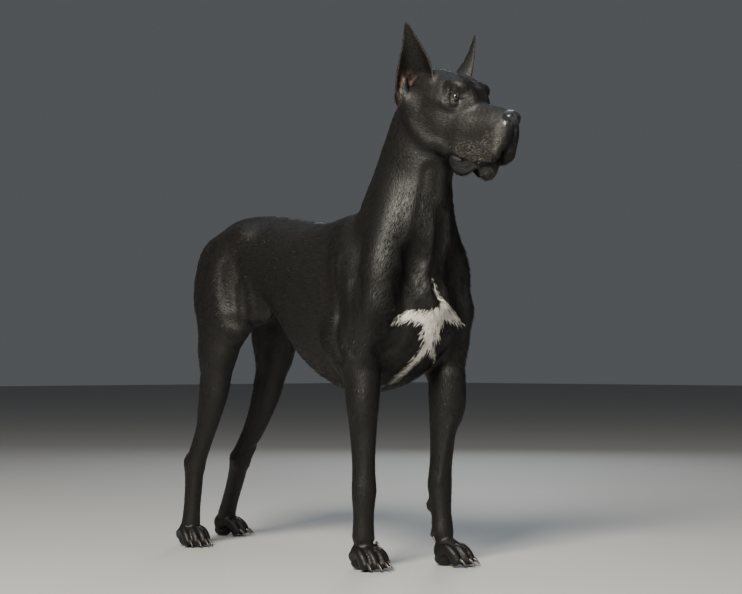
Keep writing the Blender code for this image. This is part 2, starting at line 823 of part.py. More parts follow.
# Where each leg's joints and soles are.
RIGHT_FORE = dict(
    s=-1, elbow=(0.086, -0.105, 0.430), wrist=(0.086, -0.102, 0.180), ankle=(0.084, -0.102, 0.075)
)
LEFT_FORE = dict(s=1, elbow=(0.150, 0.100, 0.430), wrist=(0.131, 0.094, 0.185), ankle=(0.142, 0.093, 0.075))
RIGHT_HIND = dict(
    s=-1, knee=(-0.450, -0.100, 0.490), hock=(-0.552, -0.093, 0.205), ankle=(-0.571, -0.091, 0.062), bow=0.018
)
LEFT_HIND = dict(
    s=1, knee=(-0.474, 0.102, 0.485), hock=(-0.620, 0.108, 0.205), ankle=(-0.706, 0.130, 0.062), bow=0.020
)
PAWS = {
    "right_fore": ((0.096, -0.102, 0.0), -4, 1.0, 0.98),
    "left_fore": ((0.170, 0.095, 0.0), 14, 1.0, 0.98),
    "right_hind": ((-0.568, -0.092, 0.0), -6, 0.92, 0.94),
    "left_hind": ((-0.708, 0.141, 0.0), 34, 0.92, 0.94),
}
PAW_TOP = 0.075


def limb_masses():
    return (
        shoulder_masses(-1, -0.012, 0.0) + shoulder_masses(1, 0.022, 0.026)
        + foreleg_masses(**RIGHT_FORE) + foreleg_masses(**LEFT_FORE)
        + hind_masses(**RIGHT_HIND) + hind_masses(**LEFT_HIND)
    )


def cuts_last(masses):
    return sorted(masses, key=lambda mass: mass.cut)


def build():
    clear_scene()
    paws = {
        name: paw_masses(Place(spot, math.radians(turn)), wide, long)
        for name, (spot, turn, wide, long) in PAWS.items()
    }
    flesh = trunk_masses() + neck_masses() + limb_masses() + sum(paws.values(), []) + head_masses()
    nodes = {}
    torso = laid_over("torso", cuts_last(flesh + tail_masses(TAIL_LENGTH * 0.4)), 0.010, 6900)
    head = laid_over("head", cuts_last(neck_masses(0.8) + head_masses()), 0.004, 5600)
    jaw = laid_over("lower_jaw", jaw_masses(), 0.004, 600)
    tail = laid_over("tail", tail_masses(), 0.0045, 460)

    # Head from neck, neck from trunk.
    head_cut = (HEAD.point((-0.075, 0, -0.075)), HEAD.direction((0.785, 0, 0.62)), (-0.3, -0.3), (0.3, 0.3))
    drop(split(torso, "spare", *head_cut))
    whole, head = head, split(head, "front", *head_cut)
    drop(whole)
    head.name = "head"
    neck = split(torso, "neck", (-0.007, 0, 0.840), (0.5586, 0, 0.829), (-0.3, -0.45), (0.3, 0.15))
    # Tail from rump: the cut lies across the tail, a little below its root.
    tail_cut = ((-0.595, 0, 0.731), (-0.15, 0, -0.99), (-0.045, -0.5), (0.045, 0.0275))
    drop(split(torso, "spare", *tail_cut))
    whole, tail = tail, split(tail, "end", *tail_cut)
    drop(whole)
    tail.name = "tail"

    # Legs from trunk, paws from legs.
    for name, spot in (("right_fore", (0.09, -0.15)), ("left_fore", (0.14, 0.15))):
        elbow = ((*spot, 0.405), (0, 0, -1), (-0.1, -0.14), (0.1, 0.12))
        nodes[name + "_leg"] = split(torso, name + "_leg", *elbow)
    for name, spot in (("right_hind", (-0.47, -0.15)), ("left_hind", (-0.50, 0.15))):
        knee = ((*spot, 0.500), (0, 0, -1), (-0.145, -0.3), (0.145, 0.2))
        nodes[name + "_leg"] = split(torso, name + "_leg", *knee)
    for name, masses in paws.items():
        leg = nodes[name + "_leg"]
        spot = PAWS[name][0]
        box = ((spot[0], spot[1], PAW_TOP), (0, 0, -1), (-0.15, -0.15), (0.15, 0.15))
        drop(split(leg, "spare", *box))
        limb = {
            "right_fore": foreleg_masses(**RIGHT_FORE), "left_fore": foreleg_masses(**LEFT_FORE),
            "right_hind": hind_masses(**RIGHT_HIND)[-1:], "left_hind": hind_masses(**LEFT_HIND)[-1:],
        }[name]
        foot = laid_over(name + "_foot", masses + limb, 0.0045, 1200 if "fore" in name else 860)
        nodes[name + "_paw"] = split(foot, name + "_paw", *box)
        drop(foot)

    nodes.update(torso=torso, head=head, neck=neck, tail=tail, lower_jaw=jaw)
    boolean(head, swollen(jaw, 0.0007))
    boolean(head, jaw, spend=False)
    for side, place in (("left", HEAD), ("right", HEAD_RIGHT)):
        boolean(head, lid_opening(place))
        boolean(head, eye_object("socket", place, EYE_RADIUS + GAP))
        nodes["eye_" + side] = eye_object("eye_" + side, place, EYE_RADIUS)
    keep_largest(head)
    shells = [swollen(head, 0.0004), swollen(neck, 0.0004)]
    for side, place, shape in (("left", HEAD, LEFT_EAR), ("right", HEAD_RIGHT, RIGHT_EAR)):
        ear = ear_object("ear_" + side, place, *shape)
        for shell in shells:
            boolean(ear, shell, spend=False)
        keep_largest(ear)
        nodes["ear_" + side] = ear
    for shell in shells:
        drop(shell)
    for name, (spot, turn, wide, long) in PAWS.items():
        paw = nodes[name + "_paw"]
        boolean(paw, block((-1, -0.5, -0.2), (0.5, 0.5, 0.0)))
        keep_largest(paw)
        shell = swollen(paw, 0.0004)
        for i, (side, reach) in enumerate(TOES):
            tip = (reach * long + 0.008, side * wide * 1.02, 0.0135)
            claw = claw_object(f"{name}_claw_{i + 1}", Place(spot, math.radians(turn)), tip, side * 3)
            boolean(claw, shell, spend=False)
            keep_largest(claw)
            nodes[claw.name] = claw
        drop(shell)
    for name, obj in nodes.items():
        if "claw" in name:
            material_for(obj, (0.10, 0.085, 0.075), 0.3)
            continue
        if name.startswith("eye"):
            material_for(obj, (0.10, 0.045, 0.02), 0.1)
        else:
            material_for(obj, (0.020, 0.019, 0.018), 0.35)
    for obj in list(bpy.data.objects):
        if obj.name not in nodes:
            drop(obj)
    # The origin is put under the middle of the whole, at floor level.
    everything = np.vstack([points_of(obj) for obj in nodes.values()])
    middle = (everything.min(0) + everything.max(0)) / 2
    for obj in nodes.values():
        put_points(obj, points_of(obj) - (middle[0], middle[1], 0))


build()
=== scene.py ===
# %% [markdown]
# # A great dane, as a still, life-size museum model
# The packed solids give the size, the pose and the floor. Here the flesh gets one closed skin, modelled
# from the same named masses as the solids but much finer, and then eyes, claws and a short coat.

import json
import math

import bmesh
import bpy
import numpy as np
from mathutils import Matrix, Vector
from mathutils.bvhtree import BVHTree
from mathutils.geometry import barycentric_transform

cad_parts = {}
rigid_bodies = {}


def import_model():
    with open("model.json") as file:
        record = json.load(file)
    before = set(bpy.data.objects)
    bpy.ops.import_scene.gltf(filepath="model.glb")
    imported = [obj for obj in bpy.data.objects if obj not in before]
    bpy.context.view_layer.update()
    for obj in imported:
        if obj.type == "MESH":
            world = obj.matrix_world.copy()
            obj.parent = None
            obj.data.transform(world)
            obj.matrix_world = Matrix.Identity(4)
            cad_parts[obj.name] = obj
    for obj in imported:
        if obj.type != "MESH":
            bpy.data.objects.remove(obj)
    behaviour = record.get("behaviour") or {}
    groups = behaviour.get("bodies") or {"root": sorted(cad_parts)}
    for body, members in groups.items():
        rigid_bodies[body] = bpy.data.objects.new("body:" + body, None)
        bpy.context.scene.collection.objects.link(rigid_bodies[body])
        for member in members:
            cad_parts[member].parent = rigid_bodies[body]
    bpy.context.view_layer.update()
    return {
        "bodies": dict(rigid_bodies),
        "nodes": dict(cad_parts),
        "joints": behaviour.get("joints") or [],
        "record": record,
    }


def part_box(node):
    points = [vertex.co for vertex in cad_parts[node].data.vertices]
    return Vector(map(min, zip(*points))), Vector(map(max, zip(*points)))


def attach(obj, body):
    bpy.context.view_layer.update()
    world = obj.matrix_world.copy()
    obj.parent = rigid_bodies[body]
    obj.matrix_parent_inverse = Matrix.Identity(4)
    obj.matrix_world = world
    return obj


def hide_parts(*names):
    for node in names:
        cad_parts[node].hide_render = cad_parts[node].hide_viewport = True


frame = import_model()
scene = bpy.context.scene
random = np.random.default_rng(11)

# %% [markdown]
# ## Places
# The dog is modelled in its own frame: +X the way it faces, +Y to its left, the floor at 0, X counted
# from between the elbows. A Place is a group's own frame, such as the head's, with a mirrored twin.

# %% Places and driving sizes
HEAD_ORIGIN = Vector((0.297, 0.010, 1.045))
HEAD_YAW = math.radians(4)
HEAD_PITCH = math.radians(14)
EYE_SIDE = 0.041
EYE_RADIUS = 0.0125
TAIL_LENGTH = 0.47
COAT_DEPTH = 0.002


class Place:
    """A local frame: where a group of masses sits and how it is turned."""

    def __init__(self, origin=(0, 0, 0), yaw=0.0, pitch=0.0, mirror=1):
        self.turn = np.array(Matrix.Rotation(yaw, 3, "Z") @ Matrix.Rotation(pitch, 3, "Y"))
        self.origin = np.array(origin, float)
        self.mirror = mirror

    def point(self, p):
        return self.origin + self.turn @ (np.array(p, float) * (1, self.mirror, 1))

    def direction(self, d):
        return self.turn @ (np.array(d, float) * (1, self.mirror, 1))

    def local(self, p):
        """World points in this frame, one row each."""
        return ((p - self.origin) @ self.turn) * (1, self.mirror, 1)


WORLD = Place()
HEAD = Place(HEAD_ORIGIN, HEAD_YAW, HEAD_PITCH)
HEAD_RIGHT = Place(HEAD_ORIGIN, HEAD_YAW, HEAD_PITCH, -1)
EYE_OUT = (math.cos(math.radians(40)), math.sin(math.radians(40)), 0.05)


def eye_spot(out):
    """A point on the line of sight of the left eye, this far out from the middle of the eyeball."""
    return (0.004 + EYE_OUT[0] * out, EYE_SIDE + EYE_OUT[1] * out, 0.003 + EYE_OUT[2] * out)


def middle_of(node):
    low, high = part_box(node)
    return np.array((low + high) / 2)


# The solids' origin is under the middle of the box; the eyes say how far that is from the dog's own frame.
SHIFT = middle_of("eye_right") - HEAD_RIGHT.point(eye_spot(0))
print("dog frame to row frame:", SHIFT.round(4), middle_of("eye_left") - HEAD.point(eye_spot(0)))

# %% [markdown]
# ## Masses
# Flesh is round, and one muscle runs into the next. So the form is not drawn as faces: it is a blend of
# egg-shaped balls and bent tubes. Each says how far a point is from it and which way leads straight out.
# A ball is measured as if the space round it were stretched until it is a true ball.

# %% Balls
FAR = 9.0  # farther off than any point of the dog
ROOM = 0.02  # how far outside its own reach a mass is still measured


def within(p, low, high):
    """Which of the points lie in a box."""
    return np.flatnonzero(((p > low) & (p < high)).all(1))


class Ball:
    """An egg-shaped mass: a centre, three semi-axes and the way the first one points."""

    def __init__(self, centre, radii, along=(1, 0, 0), place=WORLD, blend=0.02, cut=False):
        self.centre = place.point(centre)
        first = place.direction(along)
        first = first / np.linalg.norm(first)
        second = place.direction((0, 1, 0))
        second = second - first * (second @ first)
        second = second / np.linalg.norm(second)
        self.axes = np.array([first, second, np.cross(first, second)])
        self.radii = np.array(radii, float)
        self.blend, self.cut = blend, cut
        reach = self.radii.max() + blend + ROOM
        self.low, self.high = self.centre - reach, self.centre + reach

    def measure(self, p):
        local = (p - self.centre) @ self.axes.T
        q = local / self.radii
        far = np.sqrt((q**2).sum(1)).clip(1e-3)
        length = np.sqrt((local**2).sum(1)).clip(1e-5)
        d = (far - 1) * length / far
        g = q / self.radii * (length / far**3)[:, None] + local * ((1 - 1 / far) / length)[:, None]
        return d, g @ self.axes

    def rough(self):
        return [(self.centre, self.axes, self.radii)]


trial = Ball((0, 0, 0), (0.1, 0.1, 0.1))
outside = np.array(((0.15, 0.0, 0.0),))
print("50 mm outside a ball:", trial.measure(outside))

# %% [markdown]
# A leg or a neck is a bent tube: a few rings with their own radii to the front, the back and the side. A
# spline through the rings keeps the bend smooth, and each stretch between two rings is measured by itself.

# %% Tubes


def smooth_line(rows, count):
    """Rows of numbers read as one smooth curve (a Catmull-Rom spline), at count points for each step."""
    rows = np.array(rows, float)
    ends = np.vstack([2 * rows[0] - rows[1], rows, 2 * rows[-1] - rows[-2]])
    made = []
    for i in range(1, len(ends) - 2):
        a, b, c, d = ends[i - 1 : i + 3]
        for t in np.linspace(0, 1, count, endpoint=False):
            bend = (2 * a - 5 * b + 4 * c - d) * t**2 + (3 * b - a - 3 * c + d) * t**3
            made.append(0.5 * (2 * b + (c - a) * t + bend))
    made.append(rows[-1])
    return np.array(made)


class Tube:
    """A bent tube. Each row is x, y, z, then the radii to the front, the back and the side."""

    def __init__(self, rows, front=(1, 0, 0), place=WORLD, blend=0.02, steps=3, power=2.0, cut=False, lie=1):
        fine = smooth_line(rows, steps)
        self.points = np.array([place.point(r) for r in fine[:, :3]])
        self.radii = fine[:, 3:6]
        self.power, self.blend, self.cut, self.lie = power, blend, cut, lie
        tangent = np.gradient(self.points, axis=0)
        self.t = tangent / np.linalg.norm(tangent, axis=1, keepdims=True)
        front = place.direction(front)
        u = front - self.t * (self.t @ front)[:, None]
        self.u = u / np.linalg.norm(u, axis=1, keepdims=True)
        self.v = np.cross(self.t, self.u)
        reach = self.radii.max(1)[:, None] + blend + ROOM
        self.low = (self.points - reach).min(0)
        self.high = (self.points + reach).max(0)

    def measure(self, p):
        best = np.full(len(p), FAR)
        out = np.zeros_like(p)
        for i in range(len(self.points) - 1):
            a, b = self.points[i], self.points[i + 1]
            reach = self.radii[i : i + 2].max() + self.blend + ROOM
            near = within(p, np.minimum(a, b) - reach, np.maximum(a, b) + reach)
            if not len(near):
                continue
            d, g = self.segment(i, p[near])
            closer = d < best[near]
            near = near[closer]
            best[near] = d[closer]
            out[near] = g[closer]
        return best, out

    def segment(self, i, p):
        a, step = self.points[i], self.points[i + 1] - self.points[i]
        share = (((p - a) @ step) / (step @ step)).clip(0, 1)[:, None]
        off = p - a - share * step
        frame = [m[i] * (1 - share) + m[i + 1] * share for m in (self.u, self.v, self.t)]
        u, v, w = ((off * axis).sum(1) for axis in frame)
        radii = self.radii[i] * (1 - share) + self.radii[i + 1] * share
        size = (np.where(u > 0, radii[:, 0], radii[:, 1]), radii[:, 2], radii.min(1))
        n = self.power
        parts = [abs(x / r) for x, r in zip((u, v, w), size)]
        far = (sum(x**n for x in parts) ** (1 / n)).clip(1e-3)
        length = np.sqrt((off**2).sum(1)).clip(1e-5)
        d = (far - 1) * length / far
        g = off * ((1 - 1 / far) / length)[:, None]
        for x, part, r, axis in zip((u, v, w), parts, size, frame):
            g += axis * (np.sign(x) * part ** (n - 1) / r * far ** (1 - n) * length / far**2)[:, None]
        return d, g

    def rough(self):
        made = []
        for i, (p, t, u, v, r) in enumerate(zip(self.points, self.t, self.u, self.v, self.radii)):
            step = np.linalg.norm(self.points[min(i + 1, len(self.points) - 1)] - self.points[max(i - 1, 0)])
            size = np.array([(r[0] + r[1]) / 2, r[2], max(r.min(), 0.45 * step)])
            made.append((p + u * (r[0] - r[1]) / 2, np.array([u, v, t]), size))
        return made


trial_tube = Tube([(0, 0, 0, 0.1, 0.1, 0.1), (0, 0, 1, 0.1, 0.1, 0.1)])
print("50 mm outside a tube:", trial_tube.measure(outside + (0, 0, 0.5))[0].round(3))

# %% [markdown]
# Blending is a minimum with a soft corner, and a hollow is a soft maximum with a mass turned inside out.
# A mesh point is settled by stepping along the slope of the distance until it lies at the depth of the coat.

# %% Blending and settling


def blended(masses, p):
    """How far each point is from the blend of all the masses, and the slope of that distance."""
    d = np.full(len(p), FAR)
    g = np.zeros_like(p)
    for mass in masses:
        near = within(p, mass.low, mass.high)
        if not len(near):
            continue
        here, toward = mass.measure(p[near])
        there = d[near]
        if mass.cut:
            here, toward = -here, -toward
        soft = (mass.blend - abs(there - here)).clip(0) / mass.blend
        corner = soft**3 * mass.blend / 6
        if mass.cut:
            d[near] = np.maximum(there, here) + corner
            taken = here > there
        else:
            d[near] = np.minimum(there, here) - corner
            taken = here < there
        share = np.where(taken, 1 - soft**2 / 2, soft**2 / 2)[:, None]
        g[near] = toward * share + g[near] * (1 - share)
    return d, g


def settled(masses, p, rounds=2, depth=COAT_DEPTH, limit=0.02):
    """Each point moved along the slope until it lies this deep under the surface of the blend."""
    for _ in range(rounds):
        d, g = blended(masses, p)
        move = -((d + depth) / (g**2).sum(1).clip(0.05))[:, None] * g
        length = np.sqrt((move**2).sum(1)).clip(1e-9)[:, None]
        p = p + move * np.minimum(1, limit / length)
    return p


def pair(make):
    """The same masses for the left side (+1) and the right side (-1)."""
    return make(1) + make(-1)


def cuts_last(masses):
    """Hollows come after what they are cut from."""
    return sorted(masses, key=lambda mass: mass.cut)


print("settled on a ball:", settled([trial], outside).round(4))

# %% [markdown]
# ## Trunk and neck
# A deep chest, a belly that tucks up to the loins, and a long arched neck. One tube for the barrel would do
# for a toy; the hip points, buttocks and the strap muscles of the neck are masses of their own, because a
# short black coat shows every one of them as a highlight.

# %% Trunk and neck


def trunk_masses():
    made = [
        Tube(
            [
                (0.140, 0, 0.610, 0.125, 0.130, 0.085),
                (0.100, 0, 0.605, 0.170, 0.180, 0.112),
                (0.030, 0, 0.600, 0.205, 0.203, 0.122),
                (-0.040, 0, 0.600, 0.214, 0.205, 0.127),
                (-0.110, 0, 0.606, 0.200, 0.171, 0.130),
                (-0.180, 0, 0.626, 0.182, 0.108, 0.127),
                (-0.250, 0, 0.655, 0.163, 0.080, 0.119),
                (-0.320, 0, 0.680, 0.146, 0.096, 0.112),
                (-0.390, 0, 0.690, 0.143, 0.118, 0.110),
                (-0.450, 0, 0.688, 0.141, 0.110, 0.106),
                (-0.496, 0, 0.686, 0.116, 0.100, 0.078),
            ],
            front=(0, 0, 1),
            blend=0.03,
            steps=6,
        ),
        Ball((0.165, 0, 0.625), (0.058, 0.045, 0.060), blend=0.04),
    ]
    return made + pair(
        lambda s: [
            # Buttock, hip point and flank fold.
            Ball((-0.518, s * 0.050, 0.690), (0.056, 0.048, 0.090), blend=0.05),
            Ball((-0.385, s * 0.070, 0.775), (0.050, 0.030, 0.030), blend=0.05),
            Ball((-0.330, s * 0.085, 0.600), (0.075, 0.020, 0.040), (1, 0, -0.25), blend=0.05),
        ]
    )


def neck_masses(lowest=0.0):
    """The neck, from a given height up."""
    rows = [
        (0.070, 0, 0.650, 0.135, 0.100, 0.125),
        (0.108, 0, 0.750, 0.135, 0.122, 0.108),
        (0.130, 0, 0.825, 0.117, 0.120, 0.088),
        (0.142, 0, 0.880, 0.106, 0.106, 0.077),
        (0.160, 0, 0.940, 0.096, 0.096, 0.071),
        (0.180, 0.002, 1.000, 0.086, 0.088, 0.066),
        (0.205, 0.004, 1.040, 0.075, 0.074, 0.060),
    ]
    made = [Tube([row for row in rows if row[2] > lowest], blend=0.04, steps=6, lie=-1)]
    # The muscle from the side of the neck down to the point of the shoulder.
    side_rows = [
        (0.135, 0.040, 0.860, 0.050, 0.050, 0.038),
        (0.142, 0.074, 0.760, 0.052, 0.052, 0.046),
        (0.150, 0.100, 0.680, 0.054, 0.052, 0.052),
        (0.148, 0.106, 0.600, 0.050, 0.052, 0.050),
    ]
    side_rows = [row for row in side_rows if row[2] > lowest - 0.05]
    return made + pair(lambda s: [Tube([(x, s * y, *rest) for x, y, *rest in side_rows], blend=0.03)])


print("trunk and neck:", len(trunk_masses()), "and", len(neck_masses()), "masses")

# %% [markdown]
# ## Shoulders and legs
# Each leg hangs from its joints: the places of elbow, wrist and ankle drive the tubes, so that the photo's
# stance is a few points and the muscles follow them. Shoulder blade and upper arm make an open angle under
# the skin, with the breast between them.

# %% Shoulders


def shoulder_masses(s, lead, reach):
    """Shoulder blade, upper arm and breast of one side; lead sets it forward, reach its lower end more so."""
    return [
        Tube(
            [
                (-0.010, s * 0.050, 0.772, 0.045, 0.050, 0.034),
                (0.035 + lead / 3, s * 0.086, 0.700, 0.060, 0.060, 0.042),
                (0.085 + lead / 2, s * 0.104, 0.635, 0.062, 0.066, 0.046),
                (0.130 + lead, s * 0.106, 0.580, 0.056, 0.060, 0.050),
            ],
            blend=0.03,
        ),
        Tube(
            [
                (0.128 + lead, s * 0.104, 0.575, 0.056, 0.064, 0.050),
                (0.105 + lead + reach / 2, s * 0.108, 0.520, 0.058, 0.072, 0.050),
                (0.088 + lead + reach, s * 0.106, 0.455, 0.050, 0.060, 0.044),
            ],
            blend=0.03,
        ),
        Ball((0.135 + lead / 2, s * 0.056, 0.565), (0.068, 0.056, 0.080), blend=0.03),
        # The three-headed muscle behind the arm, down to the elbow.
        Ball((0.040 + lead, s * 0.112, 0.500), (0.055, 0.034, 0.070), (0.5, 0, 0.8), blend=0.04),
    ]


print("a shoulder:", len(shoulder_masses(1, 0.0, 0.0)), "masses")

# %% [markdown]
# A foreleg is a straight column, thick at the forearm's muscle and again at the wrist.

# %% Forelegs


def foreleg_masses(s, elbow, wrist, ankle):
    """Forearm, wrist and pastern of one foreleg, from the elbow's middle down to just above the paw."""
    elbow, wrist, ankle = (np.array(p, float) for p in (elbow, wrist, ankle))
    down = wrist - elbow
    rows = [
        (*(elbow + down * 0.00), 0.043, 0.050, 0.039),
        (*(elbow + down * 0.18), 0.041, 0.046, 0.036),
        (*(elbow + down * 0.40), 0.036, 0.039, 0.031),
        (*(elbow + down * 0.65), 0.031, 0.032, 0.0265),
        (*(elbow + down * 0.85), 0.029, 0.029, 0.0265),
        (*(elbow + down * 1.00), 0.031, 0.029, 0.0295),
        (*(wrist * 0.75 + ankle * 0.25), 0.028, 0.028, 0.0275),
        (*(wrist * 0.40 + ankle * 0.60), 0.025, 0.025, 0.0250),
        (*ankle, 0.027, 0.027, 0.0270),
    ]
    return [
        Tube(rows, blend=0.02),
        Ball(elbow + (-0.040, s * 0.004, 0.022), (0.018, 0.014, 0.024), blend=0.03),
        Ball(elbow + (0.010, s * 0.012, -0.045), (0.030, 0.026, 0.070), blend=0.03),
        # Stopper pad behind the wrist.
        Ball(wrist + (-0.023, -s * 0.008, -0.050), (0.011, 0.010, 0.016), blend=0.020),
    ]


print("a foreleg:", len(foreleg_masses(1, (0, 0, 0.43), (0, 0, 0.18), (0, 0, 0.07))), "masses")

# %% [markdown]
# A hind leg is bent twice, at knee and hock. The heel's tendon stands clear of the shin, which gives the leg
# its flat, hollow look above the hock.

# %% Hind legs


def hind_masses(s, knee, hock, ankle, bow):
    """Thigh, knee, lower leg with its tendon, hock and metatarsus of one hind leg."""
    knee, hock, ankle = (np.array(p, float) for p in (knee, hock, ankle))
    hip = np.array((-0.448, s * 0.076, 0.670))

    def shin(share):
        return knee + (hock - knee) * share + (bow * math.sin(math.pi * share), 0, 0)

    point = hock + (-0.026, 0, 0.012)
    return [
        Tube(
            [
                (-0.442, s * 0.064, 0.735, 0.082, 0.074, 0.051),
                (*hip, 0.115, 0.104, 0.061),
                (*(hip * 0.55 + knee * 0.45 + (0.012, s * 0.003, 0)), 0.104, 0.097, 0.060),
                (*(hip * 0.20 + knee * 0.80), 0.068, 0.071, 0.050),
                (*(knee + (0, 0, -0.01)), 0.050, 0.053, 0.041),
            ],
            blend=0.035,
        ),
        Tube(
            [
                (*shin(0.00), 0.048, 0.051, 0.040),
                (*shin(0.18), 0.046, 0.047, 0.036),
                (*shin(0.36), 0.043, 0.045, 0.032),
                (*shin(0.55), 0.034, 0.034, 0.0265),
                (*shin(0.75), 0.028, 0.023, 0.0225),
                (*shin(0.92), 0.027, 0.022, 0.0225),
                (*hock, 0.029, 0.027, 0.0250),
            ],
            blend=0.025,
        ),
        # Kneecap, heel tendon and the point of the hock.
        Ball(knee + (0.036, 0, 0.012), (0.022, 0.026, 0.032), blend=0.03),
        Tube(
            [
                (*(shin(0.40) + (-0.026, 0, 0)), 0.020, 0.020, 0.020),
                (*(shin(0.70) + (-0.031, 0, 0.004)), 0.012, 0.012, 0.012),
                (*point, 0.0115, 0.0115, 0.0125),
            ],
            blend=0.014,
        ),
        Tube(
            [
                (*(hock + (-0.004, 0, 0.004)), 0.028, 0.032, 0.0245),
                (*(hock * 0.72 + ankle * 0.28), 0.0255, 0.0275, 0.0225),
                (*(hock * 0.30 + ankle * 0.70), 0.024, 0.025, 0.0215),
                (*ankle, 0.026, 0.026, 0.0245),
            ],
            blend=0.015,
        ),
    ]


print("a hind leg:", len(hind_masses(1, (0, 0, 0.48), (0, 0, 0.2), (0, 0, 0.06), 0.02)), "masses")

# %% [markdown]
# ## Tail and paws
# The photo hides the tail behind the rump. A great dane's hangs straight to about the hock, so it does here.
# A paw is four arched toes, two longer ones in the middle, on a pad.

# %% Tail and paws
TOES = ((-0.0295, 0.034), (-0.0108, 0.047), (0.0108, 0.047), (0.0295, 0.034))  # aside and forward


def tail_masses():
    rows = [(-0.522, 0, 0.774, 0.034, 0.034, 0.036), (-0.560, 0, 0.764, 0.027, 0.027, 0.0265)]
    ends = ((0.06, 0.592, 0.0230), (0.3, 0.611, 0.0190), (0.6, 0.612, 0.0145), (1.0, 0.606, 0.0080))
    for share, back, size in ends:
        rows.append((-back, 0.004 * share, 0.765 - TAIL_LENGTH * share, size, size, size))
    return [Tube(rows, blend=0.012)]


def paw_masses(place, wide, long):
    """Four arched toes and the pads under them; the place is the middle of the sole at floor level."""
    made = [
        Ball((-0.012 * long, 0, 0.036), (0.036 * long, 0.029 * wide, 0.030), place=place, blend=0.016),
        Ball((-0.020 * long, 0, 0.0150), (0.026 * long, 0.026 * wide, 0.0175), place=place, blend=0.008),
    ]
    for side, reach in TOES:
        x, y = reach * long, side * wide
        made.append(
            Tube(
                [
                    (x - 0.058, y * 0.70, 0.030, 0.014, 0.014, 0.0110),
                    (x - 0.032, y * 0.92, 0.040, 0.014, 0.014, 0.0112),
                    (x - 0.014, y * 1.02, 0.030, 0.014, 0.015, 0.0118),
                    (x - 0.004, y * 1.02, 0.0155, 0.013, 0.0165, 0.0112),
                ],
                front=(0, 0, 1),
                place=place,
                blend=0.005,
                power=2.3,
            )
        )
    return made


print("a paw:", len(paw_masses(WORLD, 1.0, 1.0)), "masses")

# %% [markdown]
# ## Head and jaw
# The head is long and square, with a marked stop and deep hanging lips. It is modelled in its own frame.

# %% Head


def head_masses():
    """Skull, muzzle and upper lips in the head's own frame: x to the nose, z up, the eyes near x = z = 0."""
    made = [
        Tube(
            [
                (-0.128, 0, 0.000, 0.034, 0.050, 0.040),
                (-0.100, 0, 0.002, 0.054, 0.070, 0.058),
                (-0.060, 0, 0.000, 0.062, 0.085, 0.063),
                (-0.020, 0, 0.000, 0.056, 0.080, 0.056),
                (0.008, 0, -0.010, 0.042, 0.070, 0.044),
            ],
            front=(0, 0, 1),
            place=HEAD,
            blend=0.03,
            power=2.3,
            lie=-1,
        ),
        Tube(
            [
                (-0.020, 0, -0.055, 0.058, 0.060, 0.048),
                (0.020, 0, -0.055, 0.057, 0.058, 0.040),
                (0.060, 0, -0.052, 0.055, 0.054, 0.034),
                (0.100, 0, -0.050, 0.051, 0.045, 0.031),
                (0.126, 0, -0.046, 0.044, 0.036, 0.028),
            ],
            front=(0, 0, 1),
            place=HEAD,
            blend=0.025,
            power=2.5,
            lie=-1,
        ),
        # The nose.
        Ball((0.139, 0, -0.020), (0.020, 0.024, 0.0185), place=HEAD, blend=0.008),
    ]
    for place in (HEAD, HEAD_RIGHT):
        made += [
            # Brow, cheekbone, cheek muscle and the branch of the jaw under the ear.
            Ball((0.003, 0.038, 0.028), (0.028, 0.021, 0.018), place=place, blend=0.02),
            Ball((-0.028, 0.051, -0.012), (0.052, 0.013, 0.014), place=place, blend=0.02),
            Ball((-0.052, 0.045, -0.050), (0.050, 0.020, 0.046), (0.4, 0, -0.9), place=place, blend=0.03),
            Tube(
                [
                    (-0.100, 0.050, -0.040, 0.020, 0.020, 0.016),
                    (-0.050, 0.042, -0.095, 0.020, 0.020, 0.018),
                    (0.000, 0.032, -0.112, 0.022, 0.022, 0.020),
                ],
                place=place,
                blend=0.03,
            ),
            # The side lip, and its front edge up to the nose.
            Tube(
                [
                    (0.124, 0.0245, -0.080, 0.045, 0.044, 0.0135),
                    (0.095, 0.0260, -0.080, 0.050, 0.050, 0.0130),
                    (0.062, 0.0290, -0.078, 0.050, 0.050, 0.0140),
                    (0.028, 0.0320, -0.074, 0.046, 0.048, 0.0170),
                    (-0.006, 0.0340, -0.072, 0.030, 0.034, 0.0150),
                ],
                front=(0, 0, 1),
                place=place,
                blend=0.024,
                power=2.2,
            ),
            Tube(
                [
                    (0.139, 0.010, -0.042, 0.012, 0.014, 0.013),
                    (0.138, 0.018, -0.070, 0.013, 0.014, 0.013),
                    (0.133, 0.0255, -0.101, 0.013, 0.016, 0.012),
                ],
                place=place,
                blend=0.018,
            ),
            # The root of the ear, which the cup stands on.
            Tube(
                [
                    (-0.114, 0.048, -0.052, 0.020, 0.020, 0.016),
                    (-0.124, 0.064, -0.022, 0.022, 0.026, 0.017),
                    (-0.126, 0.070, 0.000, 0.016, 0.022, 0.012),
                    (-0.126, 0.073, 0.020, 0.010, 0.012, 0.008),
                ],
                place=place,
                blend=0.018,
            ),
            # The swell of the lids over the eyeball, and the nostril.
            Ball(eye_spot(0), (0.0158, 0.0175, 0.0160), EYE_OUT, place=place, blend=0.010),
            Ball(
                (0.155, 0.0115, -0.023), (0.009, 0.0048, 0.0050), (1, 0.3, 0),
                place=place, blend=0.003, cut=True,
            ),
        ]
    return made


print("head:", len(head_masses()), "masses")

# %% [markdown]
# The jaw is narrower than the upper lips, which hang over it. Its chin and the corners of the lower lip show.

# %% Jaw


